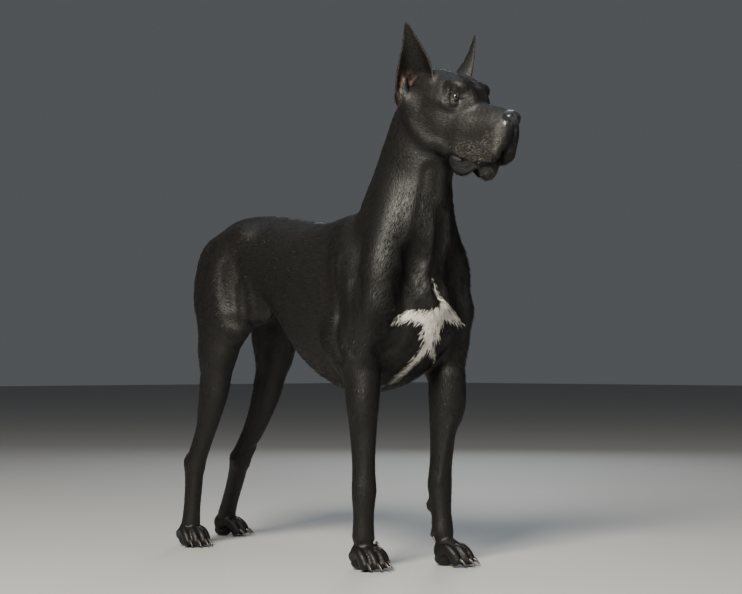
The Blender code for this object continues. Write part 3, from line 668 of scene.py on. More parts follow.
def jaw_masses():
    """Lower jaw with the chin and the hanging corners of the lower lip, in the head's own frame."""
    made = [
        Ball((0.099, 0, -0.133), (0.026, 0.022, 0.032), place=HEAD, blend=0.012),
        Tube(
            [
                (0.100, 0, -0.110, 0.016, 0.020, 0.021),
                (0.060, 0, -0.110, 0.018, 0.022, 0.025),
                (0.010, 0, -0.108, 0.022, 0.028, 0.030),
            ],
            front=(0, 0, 1),
            place=HEAD,
            blend=0.02,
        ),
    ]
    for place in (HEAD, HEAD_RIGHT):
        made.append(
            Tube(
                [
                    (0.022, 0.029, -0.133, 0.014, 0.014, 0.011),
                    (0.040, 0.031, -0.145, 0.016, 0.018, 0.011),
                    (0.058, 0.029, -0.145, 0.016, 0.018, 0.010),
                    (0.078, 0.022, -0.131, 0.012, 0.013, 0.009),
                ],
                front=(0, 0, 1),
                place=place,
                blend=0.012,
            )
        )
    return made


print("jaw:", len(jaw_masses()), "masses")

# %% [markdown]
# Cropped, an ear is a narrow blade, widest a third of the way up and curled most at its foot.

# %% The ears' outline
EAR_TURN = math.radians(33)
# Half the ear's width, and how far its edges curl round, from base to tip.
EAR_WIDTHS = (
    (0, 0.036), (0.15, 0.041), (0.27, 0.042), (0.39, 0.039),
    (0.55, 0.032), (0.76, 0.0185), (0.88, 0.0105), (1, 0.003),
)
EAR_CURLS = ((0, 100), (0.3, 84), (0.5, 62), (0.75, 40), (1, 25))
print("widest part of an ear:", 2 * max(width for _, width in EAR_WIDTHS))

# %% [markdown]
# ## Stance
# The left forefoot leads a little and both hind feet are set back and apart, as in the photo. Every joint is
# one point in the dog's own frame. A paw is a spot on the floor, its turn in degrees, its width and length.

# %% Where the joints and soles are
RIGHT_FORE = dict(
    s=-1, elbow=(0.086, -0.105, 0.430), wrist=(0.086, -0.102, 0.180), ankle=(0.084, -0.102, 0.075)
)
LEFT_FORE = dict(
    s=1, elbow=(0.150, 0.100, 0.430), wrist=(0.131, 0.094, 0.185), ankle=(0.142, 0.093, 0.075)
)
RIGHT_HIND = dict(
    s=-1, knee=(-0.450, -0.100, 0.490), hock=(-0.552, -0.093, 0.205), ankle=(-0.571, -0.091, 0.062), bow=0.018
)
LEFT_HIND = dict(
    s=1, knee=(-0.474, 0.102, 0.485), hock=(-0.620, 0.108, 0.205), ankle=(-0.706, 0.130, 0.062), bow=0.020
)
PAWS = {
    "right_fore": ((0.096, -0.102, 0.0), -4, 1.0, 0.98),
    "left_fore": ((0.170, 0.095, 0.0), 14, 1.0, 0.98),
    "right_hind": ((-0.568, -0.092, 0.0), -6, 0.92, 0.94),
    "left_hind": ((-0.708, 0.141, 0.0), 34, 0.92, 0.94),
}


def limb_masses():
    return (
        shoulder_masses(-1, -0.012, 0.0) + shoulder_masses(1, 0.022, 0.026)
        + foreleg_masses(**RIGHT_FORE) + foreleg_masses(**LEFT_FORE)
        + hind_masses(**RIGHT_HIND) + hind_masses(**LEFT_HIND)
    )


print("limbs:", len(limb_masses()), "masses")

# %% [markdown]
# ## Ears
# A cropped ear is a thin leather sheet, curled into a cup. A blend of round masses can't be that thin, so
# the ear is a mass of another kind: a sheet of points with half a thickness, measured by its nearest point.

# %% Ear sheets
RIGHT_EAR = ((-0.088, 0.070, -0.026), (-0.109, 0.117, 0.141), 0.008)
LEFT_EAR = ((-0.088, 0.073, -0.024), (-0.109, 0.118, 0.149), -0.003)
EAR_ROWS, EAR_COLUMNS = 26, 21
EAR_HALF = (0.0042, 0.0030)  # half the wall at the base and at the tip


def ear_grid(place, base, tip, bow):
    """The middle of the ear's wall: rows of arcs from the base to the tip."""
    base, tip = np.array(base), np.array(tip)
    up = (tip - base) / np.linalg.norm(tip - base)
    out = np.array((math.sin(EAR_TURN), math.cos(EAR_TURN), 0.0))
    out -= up * (out @ up)
    out /= np.linalg.norm(out)
    fore = np.cross(out, up)
    if fore[0] < 0:
        fore = -fore
    made = []
    for s in np.linspace(0, 1, EAR_ROWS):
        width = np.interp(s, *zip(*EAR_WIDTHS))
        bend = math.radians(np.interp(s, *zip(*EAR_CURLS)))
        radius = width / math.sin(min(bend, math.pi / 2))
        middle = base + (tip - base) * s + (fore * 0.008 - out * bow) * math.sin(math.pi * s)
        middle = middle - out * 0.024 * max(0, 1 - s / 0.35) ** 2
        for a in bend * np.linspace(-1, 1, EAR_COLUMNS):
            p = middle + fore * radius * math.sin(a) - out * radius * (math.cos(a) - math.cos(bend))
            made.append(place.point(p))
    return np.array(made)


class Sheet:
    """A thin wall with round edges: half is its half thickness at the first and the last row."""

    def __init__(self, points, rows, columns, half, blend):
        faces = [
            (k, k + 1, k + columns + 1, k + columns)
            for k in (i * columns + j for i in range(rows - 1) for j in range(columns - 1))
        ]
        self.tree = BVHTree.FromPolygons([Vector(p) for p in points], faces)
        self.points, self.middles = points, points.reshape(rows, columns, 3).mean(1)
        self.half = np.repeat(np.linspace(half[0], half[1], rows - 1), columns - 1)
        self.blend, self.cut = blend, False
        self.low, self.high = points.min(0) - 0.03, points.max(0) + 0.03

    def measure(self, p):
        d = np.full(len(p), FAR)
        g = np.zeros_like(p)
        for k, q in enumerate(p):
            spot, normal, face, far = self.tree.find_nearest(Vector(q))
            away = q - np.array(spot)
            d[k] = far - self.half[face]
            g[k] = away / max(far, 1e-6)
        return d, g

    def rough(self):
        return [(p, np.eye(3), np.full(3, EAR_HALF[0])) for p in self.points]


def ear_sheet(place, base, tip, bow):
    return Sheet(ear_grid(place, base, tip, bow), EAR_ROWS, EAR_COLUMNS, EAR_HALF, blend=0.012)


ears = [ear_sheet(HEAD, *LEFT_EAR), ear_sheet(HEAD_RIGHT, *RIGHT_EAR)]
print("ears:", [len(sheet.points) for sheet in ears], "points")


# %% [markdown]
# ## What the coat shows
# These are too fine for the solids: folds, furrows between muscles, a vein, the ridge of skin from ear
# to throat. Each is one small mass or hollow, placed where the photo has it.

# %% Folds and furrows of the body


def body_details():
    made = [
        # The groove between the breasts, up into the throat, and the breastbone's point under it.
        Tube([(0.262, -0.006, 0.800, 0.010, 0.010, 0.005), (0.250, -0.006, 0.740, 0.010, 0.010, 0.007),
              (0.241, -0.004, 0.680, 0.010, 0.010, 0.007), (0.232, 0.001, 0.620, 0.008, 0.008, 0.005)],
             blend=0.028, cut=True),
        Ball((0.212, -0.002, 0.588), (0.020, 0.026, 0.020), blend=0.03),
        # The vein across the left forearm.
        Tube([(0.188, 0.086, 0.330, 0.0035, 0.0035, 0.0035), (0.178, 0.080, 0.290, 0.0038, 0.0038, 0.0038),
              (0.162, 0.074, 0.235, 0.0035, 0.0035, 0.0035), (0.150, 0.073, 0.190, 0.003, 0.003, 0.003)],
             blend=0.008),
    ]
    for s, f in ((-1, 0.0), (1, 0.03)):
        made += [
            # The pit over the breast, the furrow up the neck from it, and the fold behind the upper arm.
            Ball((0.216 + f / 2, s * 0.060, 0.678), (0.022, 0.014, 0.026), blend=0.034, cut=True),
            Tube([(0.228 + f / 2, s * 0.060, 0.700, 0.006, 0.006, 0.006),
                  (0.242, s * 0.056, 0.780, 0.005, 0.005, 0.006),
                  (0.258, s * 0.050, 0.880, 0.004, 0.004, 0.005)], blend=0.036, cut=True),
            Tube([(-0.012 + f, s * 0.136, 0.690, 0.004, 0.004, 0.004),
                  (-0.004 + f, s * 0.142, 0.640, 0.006, 0.006, 0.005),
                  (0.004 + f, s * 0.144, 0.580, 0.006, 0.006, 0.005),
                  (0.022 + f, s * 0.146, 0.530, 0.006, 0.006, 0.005),
                  (0.052 + f, s * 0.150, 0.480, 0.005, 0.005, 0.004)], blend=0.018, cut=True),
            # The web of skin from the belly to the thigh.
            Ball((-0.350, s * 0.094, 0.560), (0.075, 0.010, 0.038), (1, 0, -0.15), blend=0.045),
            # The hollow behind the thigh's great muscle.
            Tube([(-0.480, s * 0.134, 0.690, 0.006, 0.006, 0.004),
                  (-0.492, s * 0.146, 0.620, 0.006, 0.006, 0.005),
                  (-0.490, s * 0.148, 0.550, 0.005, 0.005, 0.004)], blend=0.034, cut=True),
        ]
    # Teats under the belly, two rows of four.
    for x, z in ((-0.045, 0.386), (-0.105, 0.408), (-0.170, 0.442), (-0.235, 0.480)):
        for s in (-1, 1):
            made.append(Ball((x, s * 0.036, z), (0.006, 0.006, 0.010), blend=0.010))
    # Dewclaw lumps, on the inner side of each forefoot.
    made.append(Ball((0.108, -0.078, 0.066), (0.009, 0.007, 0.013), blend=0.012))
    made.append(Ball((0.132, 0.070, 0.068), (0.009, 0.007, 0.013), blend=0.012))
    return made


print("body details:", len(body_details()))

# %% Folds and furrows of the head


def head_details():
    made = [
        # The furrow down the forehead and the one under the nose.
        Tube([(-0.060, 0, 0.070, 0.012, 0.012, 0.004), (-0.020, 0, 0.062, 0.014, 0.014, 0.006),
              (0.012, 0, 0.036, 0.012, 0.012, 0.005)], front=(0, 0, 1), place=HEAD, blend=0.028, cut=True),
        Tube([(0.160, 0, -0.030, 0.003, 0.003, 0.0016), (0.156, 0, -0.045, 0.004, 0.004, 0.0020),
              (0.152, 0, -0.070, 0.005, 0.005, 0.0030)], place=HEAD, blend=0.005, cut=True),
        # Between the nose and the lips the muzzle's end is full.
        Ball((0.128, 0, -0.060), (0.024, 0.024, 0.026), place=HEAD, blend=0.016),
    ]
    for place in (HEAD, HEAD_RIGHT):
        made += [
            # The ridge of skin from the ear past the jaw's corner to the throat.
            Tube([(-0.108, 0.060, -0.055, 0.008, 0.008, 0.006), (-0.082, 0.063, -0.080, 0.008, 0.008, 0.006),
                  (-0.045, 0.054, -0.108, 0.007, 0.007, 0.005)], place=place, blend=0.030),
            # The flap of skin at the front of the ear's opening, which closes its lower part.
            Tube([(-0.096, 0.062, -0.020, 0.016, 0.012, 0.010), (-0.096, 0.060, -0.040, 0.014, 0.012, 0.010)],
                 place=place, blend=0.024),
            # The hanging lip's own edge, thick and rolled.
            Tube([(0.134, 0.024, -0.108, 0.005, 0.005, 0.005), (0.108, 0.029, -0.124, 0.005, 0.005, 0.005),
                  (0.072, 0.033, -0.125, 0.005, 0.005, 0.005), (0.036, 0.037, -0.117, 0.005, 0.005, 0.005)],
                 front=(0, 0, 1), place=place, blend=0.010),
            # The bone between the eye's inner corner and the bridge of the nose.
            Ball((0.026, 0.024, 0.008), (0.018, 0.008, 0.012), place=place, blend=0.036),
            # The nostril's slit, back from its round front.
            Ball((0.148, 0.0200, -0.025), (0.009, 0.004, 0.0024), (0.8, 0.6, 0.1),
                 place=place, blend=0.004, cut=True),
        ]
    return made


print("head details:", len(head_details()))

# %% [markdown]
# ## Lids
# A lid is a rim of skin that hugs the eyeball, so it is easier to say how far the skin lies from the ball's
# middle than to model it. Inside the slit the skin goes under the ball, at the slit it stands up as a rolled
# rim, and further out it runs back into the face.

# %% Lids
LID_REACH = 0.030
SLIT_WIDE, SLIT_HIGH = 0.93, 0.58
# How far the skin is from the eyeball's middle, from inside the slit to the end of the rim.
SLIT_STEPS, RIM_STEPS = (0.90, 1.00, 1.14, 1.40), (0.0092, 0.0131, 0.0142, 0.0150)


def eye_axes():
    """Out of the eye, across it and up it, in the head's frame."""
    out = np.array(EYE_OUT) / np.linalg.norm(EYE_OUT)
    across = np.array((-out[1], out[0], 0)) / math.hypot(out[0], out[1])
    return np.array((out, across, np.cross(out, across)))


def lids(p):
    """Opens the skin over each eye: under the ball inside the slit, a rolled rim around it."""
    p = p.copy()
    for place in (HEAD, HEAD_RIGHT):
        q = (place.local(p) - eye_spot(0)) @ eye_axes().T
        far = np.linalg.norm(q, axis=1)
        near = np.flatnonzero((far < LID_REACH) & (q[:, 0] > 0))
        q, far = q[near], far[near]
        way = q / far[:, None]
        slit = np.hypot(way[:, 1] / SLIT_WIDE, (way[:, 2] + 0.10 * way[:, 1] + 0.02) / SLIT_HIGH)
        rim = np.interp(slit, SLIT_STEPS, RIM_STEPS)
        free = np.interp(slit, (1.14, 1.75), (0, 1))
        far = np.where(slit < 1.14, rim, np.maximum(rim, rim * (1 - free) + far * free))
        q = way * far[:, None] @ eye_axes() + eye_spot(0)
        p[near] = [place.point(spot) for spot in q]
    return p


print("eye looks along", eye_axes()[0].round(3))

# %% [markdown]
# ## Creases
# Creases and ridges are pressed into the finished skin. Their lines are first dropped onto it, so that a
# few points are enough to say where each runs.

# %% Near a line


def rising(x, low, high):
    """0 below low, 1 above high, smooth between."""
    t = np.clip((x - low) / (high - low), 0, 1)
    return t * t * (3 - 2 * t)


def near_line(p, points, radius):
    """1 on a bent line, falling to 0 at this distance from it."""
    points = np.array(points)
    found = np.full(len(p), FAR)
    for a, b in zip(points, points[1:]):
        share = ((p - a) @ (b - a) / ((b - a) @ (b - a))).clip(0, 1)[:, None]
        found = np.minimum(found, np.linalg.norm(p - a - share * (b - a), axis=1))
    return rising(-found, -radius, -radius * 0.35)


print("half way off a line:", near_line(np.array(((0.5, 0.65, 0.0),)), ((0, 0, 0), (1, 0, 0)), 1.0).round(2))

# %% Creases


def crease_lines():
    """Line, half width and depth of each crease; a ridge has a depth below 0."""
    made = [
        # The groove down the breast, and the vein across the left forearm.
        (((0.262, -0.006, 0.800), (0.250, -0.006, 0.740), (0.241, -0.004, 0.680), (0.232, 0.001, 0.620)),
         0.018, 0.007),
        (((0.188, 0.086, 0.330), (0.178, 0.080, 0.290), (0.162, 0.074, 0.235), (0.150, 0.073, 0.190)),
         0.007, -0.0024),
    ]
    for s, f in ((-1, 0.0), (1, 0.03)):
        fold = ((0.010, 0.136, 0.700), (0.016, 0.142, 0.640), (0.022, 0.144, 0.580), (0.040, 0.146, 0.530),
                (0.066, 0.150, 0.480))
        made += [
            # The fold behind the upper arm with its ridge, the furrow up the neck, the pit over the breast.
            ([(x + f, s * y, z) for x, y, z in fold], 0.013, 0.0060),
            ([(x + f + 0.017, s * y, z) for x, y, z in fold], 0.011, -0.0028),
            (((0.228 + f / 2, s * 0.060, 0.700), (0.242, s * 0.056, 0.780), (0.258, s * 0.050, 0.880)),
             0.024, 0.0055),
            (((0.216 + f / 2, s * 0.062, 0.700), (0.216 + f / 2, s * 0.060, 0.660)), 0.032, 0.0090),
            # Round the outer edge of the breast muscle, and the line from shoulder to forearm.
            (((0.195 + f / 2, s * 0.098, 0.650), (0.205 + f / 2, s * 0.086, 0.590),
              (0.190 + f / 2, s * 0.090, 0.530), (0.165 + f / 2, s * 0.100, 0.480)), 0.020, 0.0055),
            (((0.110 + f, s * 0.140, 0.640), (0.120 + f, s * 0.140, 0.570), (0.100 + f, s * 0.140, 0.500)),
             0.022, 0.0040),
            # Before and behind the thigh's great muscle, and the web of skin at the flank.
            (((-0.385, s * 0.125, 0.700), (-0.368, s * 0.122, 0.640), (-0.352, s * 0.110, 0.585)),
             0.034, 0.0055),
            (((-0.335, s * 0.100, 0.650), (-0.330, s * 0.095, 0.605), (-0.332, s * 0.090, 0.560)),
             0.022, -0.0050),
            (((-0.480, s * 0.134, 0.700), (-0.492, s * 0.146, 0.620), (-0.490, s * 0.148, 0.540)),
             0.034, 0.0030),
            # Between shin and tendon over the hock.
            (((-0.545, s * 0.112, 0.340), (-0.560, s * 0.110, 0.290), (-0.572, s * 0.108, 0.245)),
             0.010, 0.0035),
        ]
    return made


def creased(obj):
    """The points of the skin with every crease pressed in along its normals."""
    p = points_of(obj)
    normals = normals_of(obj)
    tree = tree_of(p, obj)
    depth = np.zeros(len(p))
    for line, half, deep in crease_lines():
        line = np.array(line)
        steps = np.linspace(0, len(line) - 1, 4 * len(line))
        dense = np.column_stack([np.interp(steps, range(len(line)), line[:, i]) for i in range(3)])
        dropped = [np.array(tree.find_nearest(Vector(q))[0]) for q in dense]
        near = within(p, dense.min(0) - 0.06, dense.max(0) + 0.06)
        depth[near] += deep * near_line(p[near], dropped, half * 1.5)
    return p - normals * depth[:, None]


print("creases:", len(crease_lines()))

# %% [markdown]
# ## One closed skin
# The solids are parted where a person would name the parts, but a dog has one skin. Overlapping balls and
# tubes are fused by a voxel remesh, and every point is then settled onto the blend. The body needs a point
# each 7 mm and the head one each 3, so each gets its own mesh; both are cut through the neck with
# bisect_plane, and bridge_loops sews the two rims together.

# %% Points, normals and neighbours of a mesh


def new_object(name, bm):
    mesh = bpy.data.meshes.new(name)
    bm.to_mesh(mesh)
    bm.free()
    obj = bpy.data.objects.new(name, mesh)
    scene.collection.objects.link(obj)
    return obj


def apply_modifiers(obj):
    bpy.context.view_layer.update()
    mesh = bpy.data.meshes.new_from_object(obj.evaluated_get(bpy.context.evaluated_depsgraph_get()))
    obj.modifiers.clear()
    obj.data = mesh


def points_of(obj):
    p = np.empty(len(obj.data.vertices) * 3)
    obj.data.vertices.foreach_get("co", p)
    return p.reshape(-1, 3)


def put_points(obj, p):
    obj.data.vertices.foreach_set("co", p.ravel())
    obj.data.update()


def normals_of(obj):
    normals = np.empty(len(obj.data.vertices) * 3, np.float32)
    obj.data.vertex_normals.foreach_get("vector", normals)
    return normals.reshape(-1, 3)


def tree_of(points, obj):
    """For the nearest spot on an object's faces, with its points at these places."""
    faces = [tuple(face.vertices) for face in obj.data.polygons]
    return BVHTree.FromPolygons([Vector(p) for p in points], faces)


def relaxed(obj, p, amount=0.5):
    """Each point drawn towards the middle of its neighbours."""
    ends = np.empty(len(obj.data.edges) * 2, int)
    obj.data.edges.foreach_get("vertices", ends)
    a, b = ends.reshape(-1, 2).T
    total = np.zeros_like(p)
    count = np.zeros(len(p))
    for one, other in ((a, b), (b, a)):
        for axis in range(3):
            total[:, axis] += np.bincount(one, p[other, axis], len(p))
        count += np.bincount(one, minlength=len(p))
    return p + amount * (total / count.clip(1)[:, None] - p)


print("mesh helpers are ready")

# %% Laying a mesh over the masses


def laid_over(name, rough_masses, masses, voxel):
    """A closed mesh over the blend of the masses, started from the rough shape of some of them."""
    bm = bmesh.new()
    for mass in rough_masses:
        if mass.cut:
            continue
        for centre, axes, radii in mass.rough():
            turn = Matrix([list(r) for r in (axes * radii[:, None]).T]).to_4x4()
            turn.translation = Vector(centre)
            level = 1 if isinstance(mass, Sheet) else 3
            bmesh.ops.create_icosphere(bm, subdivisions=level, radius=1.0, matrix=turn)
    obj = new_object(name, bm)
    remesh = obj.modifiers.new("Remesh", "REMESH")
    remesh.mode, remesh.voxel_size = "VOXEL", voxel
    apply_modifiers(obj)
    p = relaxed(obj, points_of(obj), 0.5)
    p = settled(masses, p, 2)
    p = relaxed(obj, p, 0.6)
    put_points(obj, settled(masses, p, 1))
    return obj


def cut_open(obj, point, normal):
    """Removes all in front of the plane, and any loose island, and leaves the mesh open there."""
    bm = bmesh.new()
    bm.from_mesh(obj.data)
    geometry = bm.verts[:] + bm.edges[:] + bm.faces[:]
    bmesh.ops.bisect_plane(bm, geom=geometry, plane_co=point, plane_no=normal, clear_outer=True)
    left = set(bm.verts)
    islands = []
    while left:
        island, stack = [], [left.pop()]
        while stack:
            vert = stack.pop()
            island.append(vert)
            for edge in vert.link_edges:
                other = edge.other_vert(vert)
                if other in left:
                    left.remove(other)
                    stack.append(other)
        islands.append(island)
    islands.sort(key=len)
    for island in islands[:-1]:
        bmesh.ops.delete(bm, geom=island, context="VERTS")
    bm.to_mesh(obj.data)
    bm.free()


print("a mesh is laid over masses in three steps: rough balls, a remesh, settling")

# %% [markdown]
# The body's mesh starts from the plain masses and is laid over them with their details. The lip and the jaw
# blend little, so that the line of the mouth stays open.

# %% Masses of the whole dog
LIP_BLEND = 0.005
HEAD_MESH_FROM = 0.80  # the height in the neck where the head's mesh begins

paw_places = {name: Place(spot, math.radians(turn)) for name, (spot, turn, wide, long) in PAWS.items()}
paws = sum((paw_masses(paw_places[name], *PAWS[name][2:]) for name in PAWS), [])
lip_and_jaw = jaw_masses()
for mass in lip_and_jaw:
    mass.blend = min(mass.blend, LIP_BLEND)
plain_body = trunk_masses() + neck_masses() + limb_masses() + paws + tail_masses()
plain_head = neck_masses(HEAD_MESH_FROM) + head_masses()
low_masses = cuts_last(plain_body + body_details() + head_masses())
high_masses = cuts_last(plain_head + lip_and_jaw + ears + head_details() + neck_masses())
everything = cuts_last(plain_body + body_details() + head_masses() + lip_and_jaw + ears + head_details())
print("masses:", len(everything))

# %% [markdown]
# The cut lies across the neck, clear of the chin, and leaves a gap of 6 mm, which the bridge will close.

# %% Body and head
NECK_CUT = np.array((0.150, 0, 0.905))
NECK_LINE = np.array((0.25, 0, 0.97)) / math.hypot(0.25, 0.97)
BODY_STEP, HEAD_STEP = 0.0068, 0.0032

body = laid_over("body", plain_body, low_masses, BODY_STEP)
head = laid_over("head_skin", plain_head + lip_and_jaw + ears, high_masses, HEAD_STEP)
cut_open(body, NECK_CUT - NECK_LINE * 0.004, NECK_LINE)
cut_open(head, NECK_CUT + NECK_LINE * 0.002, -NECK_LINE)
print("body and head:", len(body.data.vertices), "and", len(head.data.vertices), "points")

# %% Sewn at the neck
bm = bmesh.new()
bm.from_mesh(body.data)
bm.from_mesh(head.data)
rims = [edge for edge in bm.edges if edge.is_boundary]
bmesh.ops.bridge_loops(bm, edges=rims)
print("rim edges", len(rims), "still open", sum(edge.is_boundary for edge in bm.edges))

# %% [markdown]
# Paws, lids and nose get half the step, and the slits of the eyes a quarter: a finer mesh costs points, so it
# is used only where a shape is small.

# %% Finer on paws, lids and nose
EYE_FRONT, NOSE_TIP = eye_spot(0.012), (0.150, 0, -0.025)
# How far from the eye, the floor and the nose the mesh is made finer, in each of two rounds.
FINER = ((0.024, 0.070, 0.026), (0.019, 0.0, 0.0))

eyes = [place.point(EYE_FRONT) for place in (HEAD, HEAD_RIGHT)]
nose = HEAD.point(NOSE_TIP)
for reach, floor_reach, nose_reach in FINER:
    fine = []
    for face in bm.faces:
        middle = np.array(face.calc_center_median())
        near_eye = min(np.linalg.norm(middle - eye) for eye in eyes) < reach
        if middle[2] < floor_reach or near_eye or np.linalg.norm(middle - nose) < nose_reach:
            fine.append(face)
    edges = list({edge for face in fine for edge in face.edges})
    bmesh.ops.subdivide_edges(bm, edges=edges, cuts=1, use_grid_fill=True)
    bmesh.ops.triangulate(bm, faces=[face for face in bm.faces if len(face.verts) > 4])
bmesh.ops.recalc_face_normals(bm, faces=bm.faces)
for obj in (body, head):
    bpy.data.objects.remove(obj)
skin = new_object("skin", bm)
print("skin:", len(skin.data.vertices), "points", len(skin.data.polygons), "faces")

# %% [markdown]
# The seam and the new points are settled onto the blend. Relaxing in and out again takes out the ripples
# between a tube's rings and keeps its girth; eyes, nose, ears and most of the head are left out of it.

# %% Settled and calmed
CALM_ROUNDS, CALM_STEPS = 14, (0.62, -0.64)

p = settled(everything, points_of(skin), 2)
in_head = HEAD.local(p)
on_head = np.interp(in_head[:, 0], (-0.17, -0.11), (0, 1)) * np.interp(in_head[:, 2], (-0.19, -0.15), (0, 1))
calm = (1 - 0.88 * on_head) * np.interp(p[:, 2], (0.05, 0.12), (0.2, 1.0))
for place, sheet in ((HEAD, ears[0]), (HEAD_RIGHT, ears[1])):
    eye = np.linalg.norm(p - place.point(EYE_FRONT), axis=1)
    tip = np.linalg.norm(p - place.point(NOSE_TIP), axis=1)
    ear = np.array([sheet.tree.find_nearest(Vector(q), 0.03)[3] or 0.03 for q in p])
    calm *= np.interp(eye, (0.020, 0.030), (0, 1)) * np.interp(tip, (0.026, 0.034), (0, 1))
    calm *= np.interp(ear, (0.006, 0.014), (0, 1))
calm = calm[:, None]
for _ in range(CALM_ROUNDS):
    for amount in CALM_STEPS:
        p = p + (relaxed(skin, p, amount) - p) * calm
print("calmed, in part at least:", int((calm > 0.1).sum()), "points")

# %% [markdown]
# The folds at the foot of each ear's opening are melted into one another, and so is the skin round the eyes.
# Then the creases are pressed in and the lids are shaped.

# %% Melted, creased and opened at the eyes
MELT_ROUNDS = 30


def melted_round(middle, reach, whole):
    """1 round the same spot on both sides of the head, falling to 0 at its reach."""
    away = [np.linalg.norm(p - place.point(middle), axis=1) for place in (HEAD, HEAD_RIGHT)]
    return rising(-np.minimum(*away), -reach, -whole)


EAR_FOOT = HEAD_RIGHT.local(np.array(((0.205, -0.070, 1.055),)))[0]
melt = np.maximum(melted_round(EAR_FOOT, 0.034, 0.018), melted_round(eye_spot(0.010), 0.040, 0.022))[:, None]
for _ in range(MELT_ROUNDS):
    p = p + (relaxed(skin, p, 0.5) - p) * melt
p[:, 2] = p[:, 2].clip(0.0004)
put_points(skin, p)
put_points(skin, lids(creased(skin)))
print("melted:", int((melt > 0).sum()), "points; lowest point", points_of(skin)[:, 2].min().round(4))

# %% [markdown]
# ## The skin takes the place of the flesh
# One closed mesh stands for torso, neck, head, jaw, ears, legs, paws and tail. It is kept in the dog's frame
# until its attributes are worked out, and then moved to where the solids are.

# %% Skin in place
FLESH = [name for name in sorted(frame["nodes"]) if not name.startswith("eye") and "claw" not in name]
spots = points_of(skin)
put_points(skin, spots + SHIFT)
skin.data.shade_smooth()
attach(skin, "root")
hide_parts(*FLESH)
print("skin stands for", len(FLESH), "nodes")

# %% [markdown]
# ## Markings
# A white mark crosses the breast: a thin line down its middle, a star with a ragged arm to each side, and a
# tail under the chest, whose tufts are darkened towards black as painted shade. It is kept as lines with a
# half width, seen from the front, and the distance to its edge is stored on the skin and used again for every
# tuft, so both carry the same mark.

# %% The white mark
WHITE_LINES = (
    ((-0.010, 0.652, 0.0012), (-0.003, 0.628, 0.0030), (0.005, 0.614, 0.0065), (0.001, 0.606, 0.0040),
     (0.008, 0.592, 0.0120), (0.001, 0.574, 0.0150)),
    ((0.001, 0.574, 0.0150), (-0.029, 0.566, 0.0140), (-0.064, 0.570, 0.0100), (-0.091, 0.562, 0.0030)),
    ((0.001, 0.574, 0.0140), (-0.020, 0.545, 0.0150), (-0.014, 0.520, 0.0110), (-0.011, 0.503, 0.0080),
     (-0.018, 0.489, 0.0070), (-0.024, 0.474, 0.0060), (-0.028, 0.455, 0.0050), (-0.030, 0.435, 0.0040),
     (-0.025, 0.417, 0.0020)),
    ((0.003, 0.576, 0.0150), (0.045, 0.573, 0.0140), (0.092, 0.559, 0.0025)),
    ((0.003, 0.565, 0.0100), (0.004, 0.539, 0.0080), (0.006, 0.514, 0.0040)),
    ((-0.008, 0.503, 0.0060), (0.015, 0.485, 0.0040), (0.041, 0.467, 0.0015)),
)


def white_edge(p):
    """How far each point is outside the white mark; below 0 inside it."""
    found = np.full(len(p), 0.05)
    for line in WHITE_LINES:
        for start, end in zip(line, line[1:]):
            a, b = np.array(start), np.array(end)
            step = (b - a)[:2]
            share = ((p[:, 1:] - a[:2]) @ step / (step @ step)).clip(0, 1)
            away = np.linalg.norm(p[:, 1:] - a[:2] - share[:, None] * step, axis=1)
            found = np.minimum(found, away - a[2] - share * (b[2] - a[2]))
    return np.where(p[:, 0] > 0.06, found, 0.05)


print("points under the white mark:", int((white_edge(spots) < 0).sum()))

# %% [markdown]
# ## Bare and grey places
# The nose leather, the lips' corners, the lids' edges and the cup of the ear are bare, and the lips are going
# grey. Each zone is a number from 0 to 1 on every point of the skin.

# %% Where the skin is bare, wet or grey


LIP_CORNER = ((0.010, 0.034, -0.122), (0.040, 0.038, -0.140), (0.070, 0.034, -0.136), (0.098, 0.024, -0.140))
FLEW = ((0.128, 0.030, -0.075), (0.110, 0.035, -0.100), (0.080, 0.040, -0.108), (0.050, 0.045, -0.112))
CHIN = ((0.115, 0.0, -0.140), (0.095, 0.014, -0.158))
NOSE_LEATHER = (0.146, 0, -0.022), (0.026, 0.028, 0.024)


def head_zones(p):
    """Nose leather, wet lips and lids, grey muzzle and the bare cup of the ear, each from 0 to 1."""
    zones = {name: np.zeros(len(p)) for name in ("nose", "wet", "grey", "cup", "rim")}

    def add(name, values):
        zones[name] = np.maximum(zones[name], values)

    for place, sheet in ((HEAD, ears[0]), (HEAD_RIGHT, ears[1])):
        q = place.local(p)
        side = q[:, 1] > -0.002
        far = np.linalg.norm((q - NOSE_LEATHER[0]) / NOSE_LEATHER[1], axis=1)
        add("nose", side * rising(-far, -1.14, -0.98))
        add("wet", 0.9 * side * near_line(q, LIP_CORNER, 0.019) * rising(-q[:, 2], 0.124, 0.134))
        eye = np.linalg.norm(q - eye_spot(0.011), axis=1)
        add("wet", side * rising(-eye, -0.0140, -0.0110))
        add("grey", side * near_line(q, FLEW, 0.036))
        add("grey", 0.6 * side * near_line(q, CHIN, 0.024))
        for k in within(p, sheet.low + 0.022, sheet.high - 0.022):
            spot, normal, face, gap = sheet.tree.find_nearest(Vector(p[k]))
            if gap > 0.010:
                continue
            row, column = divmod(face, EAR_COLUMNS - 1)
            up, across = row / (EAR_ROWS - 2), column / (EAR_COLUMNS - 2) * 2 - 1
            inner = (p[k] - np.array(spot)) @ (np.array(spot) - sheet.middles[row]) < 0
            bare = rising(0.50 - up, 0.0, 0.20) * rising(0.05 - across, 0.0, 0.4)
            zones["cup"][k] = max(zones["cup"][k], inner * bare)
            zones["rim"][k] = max(zones["rim"][k], rising(abs(across), 0.86, 0.99) * (up < 0.9))
    return zones


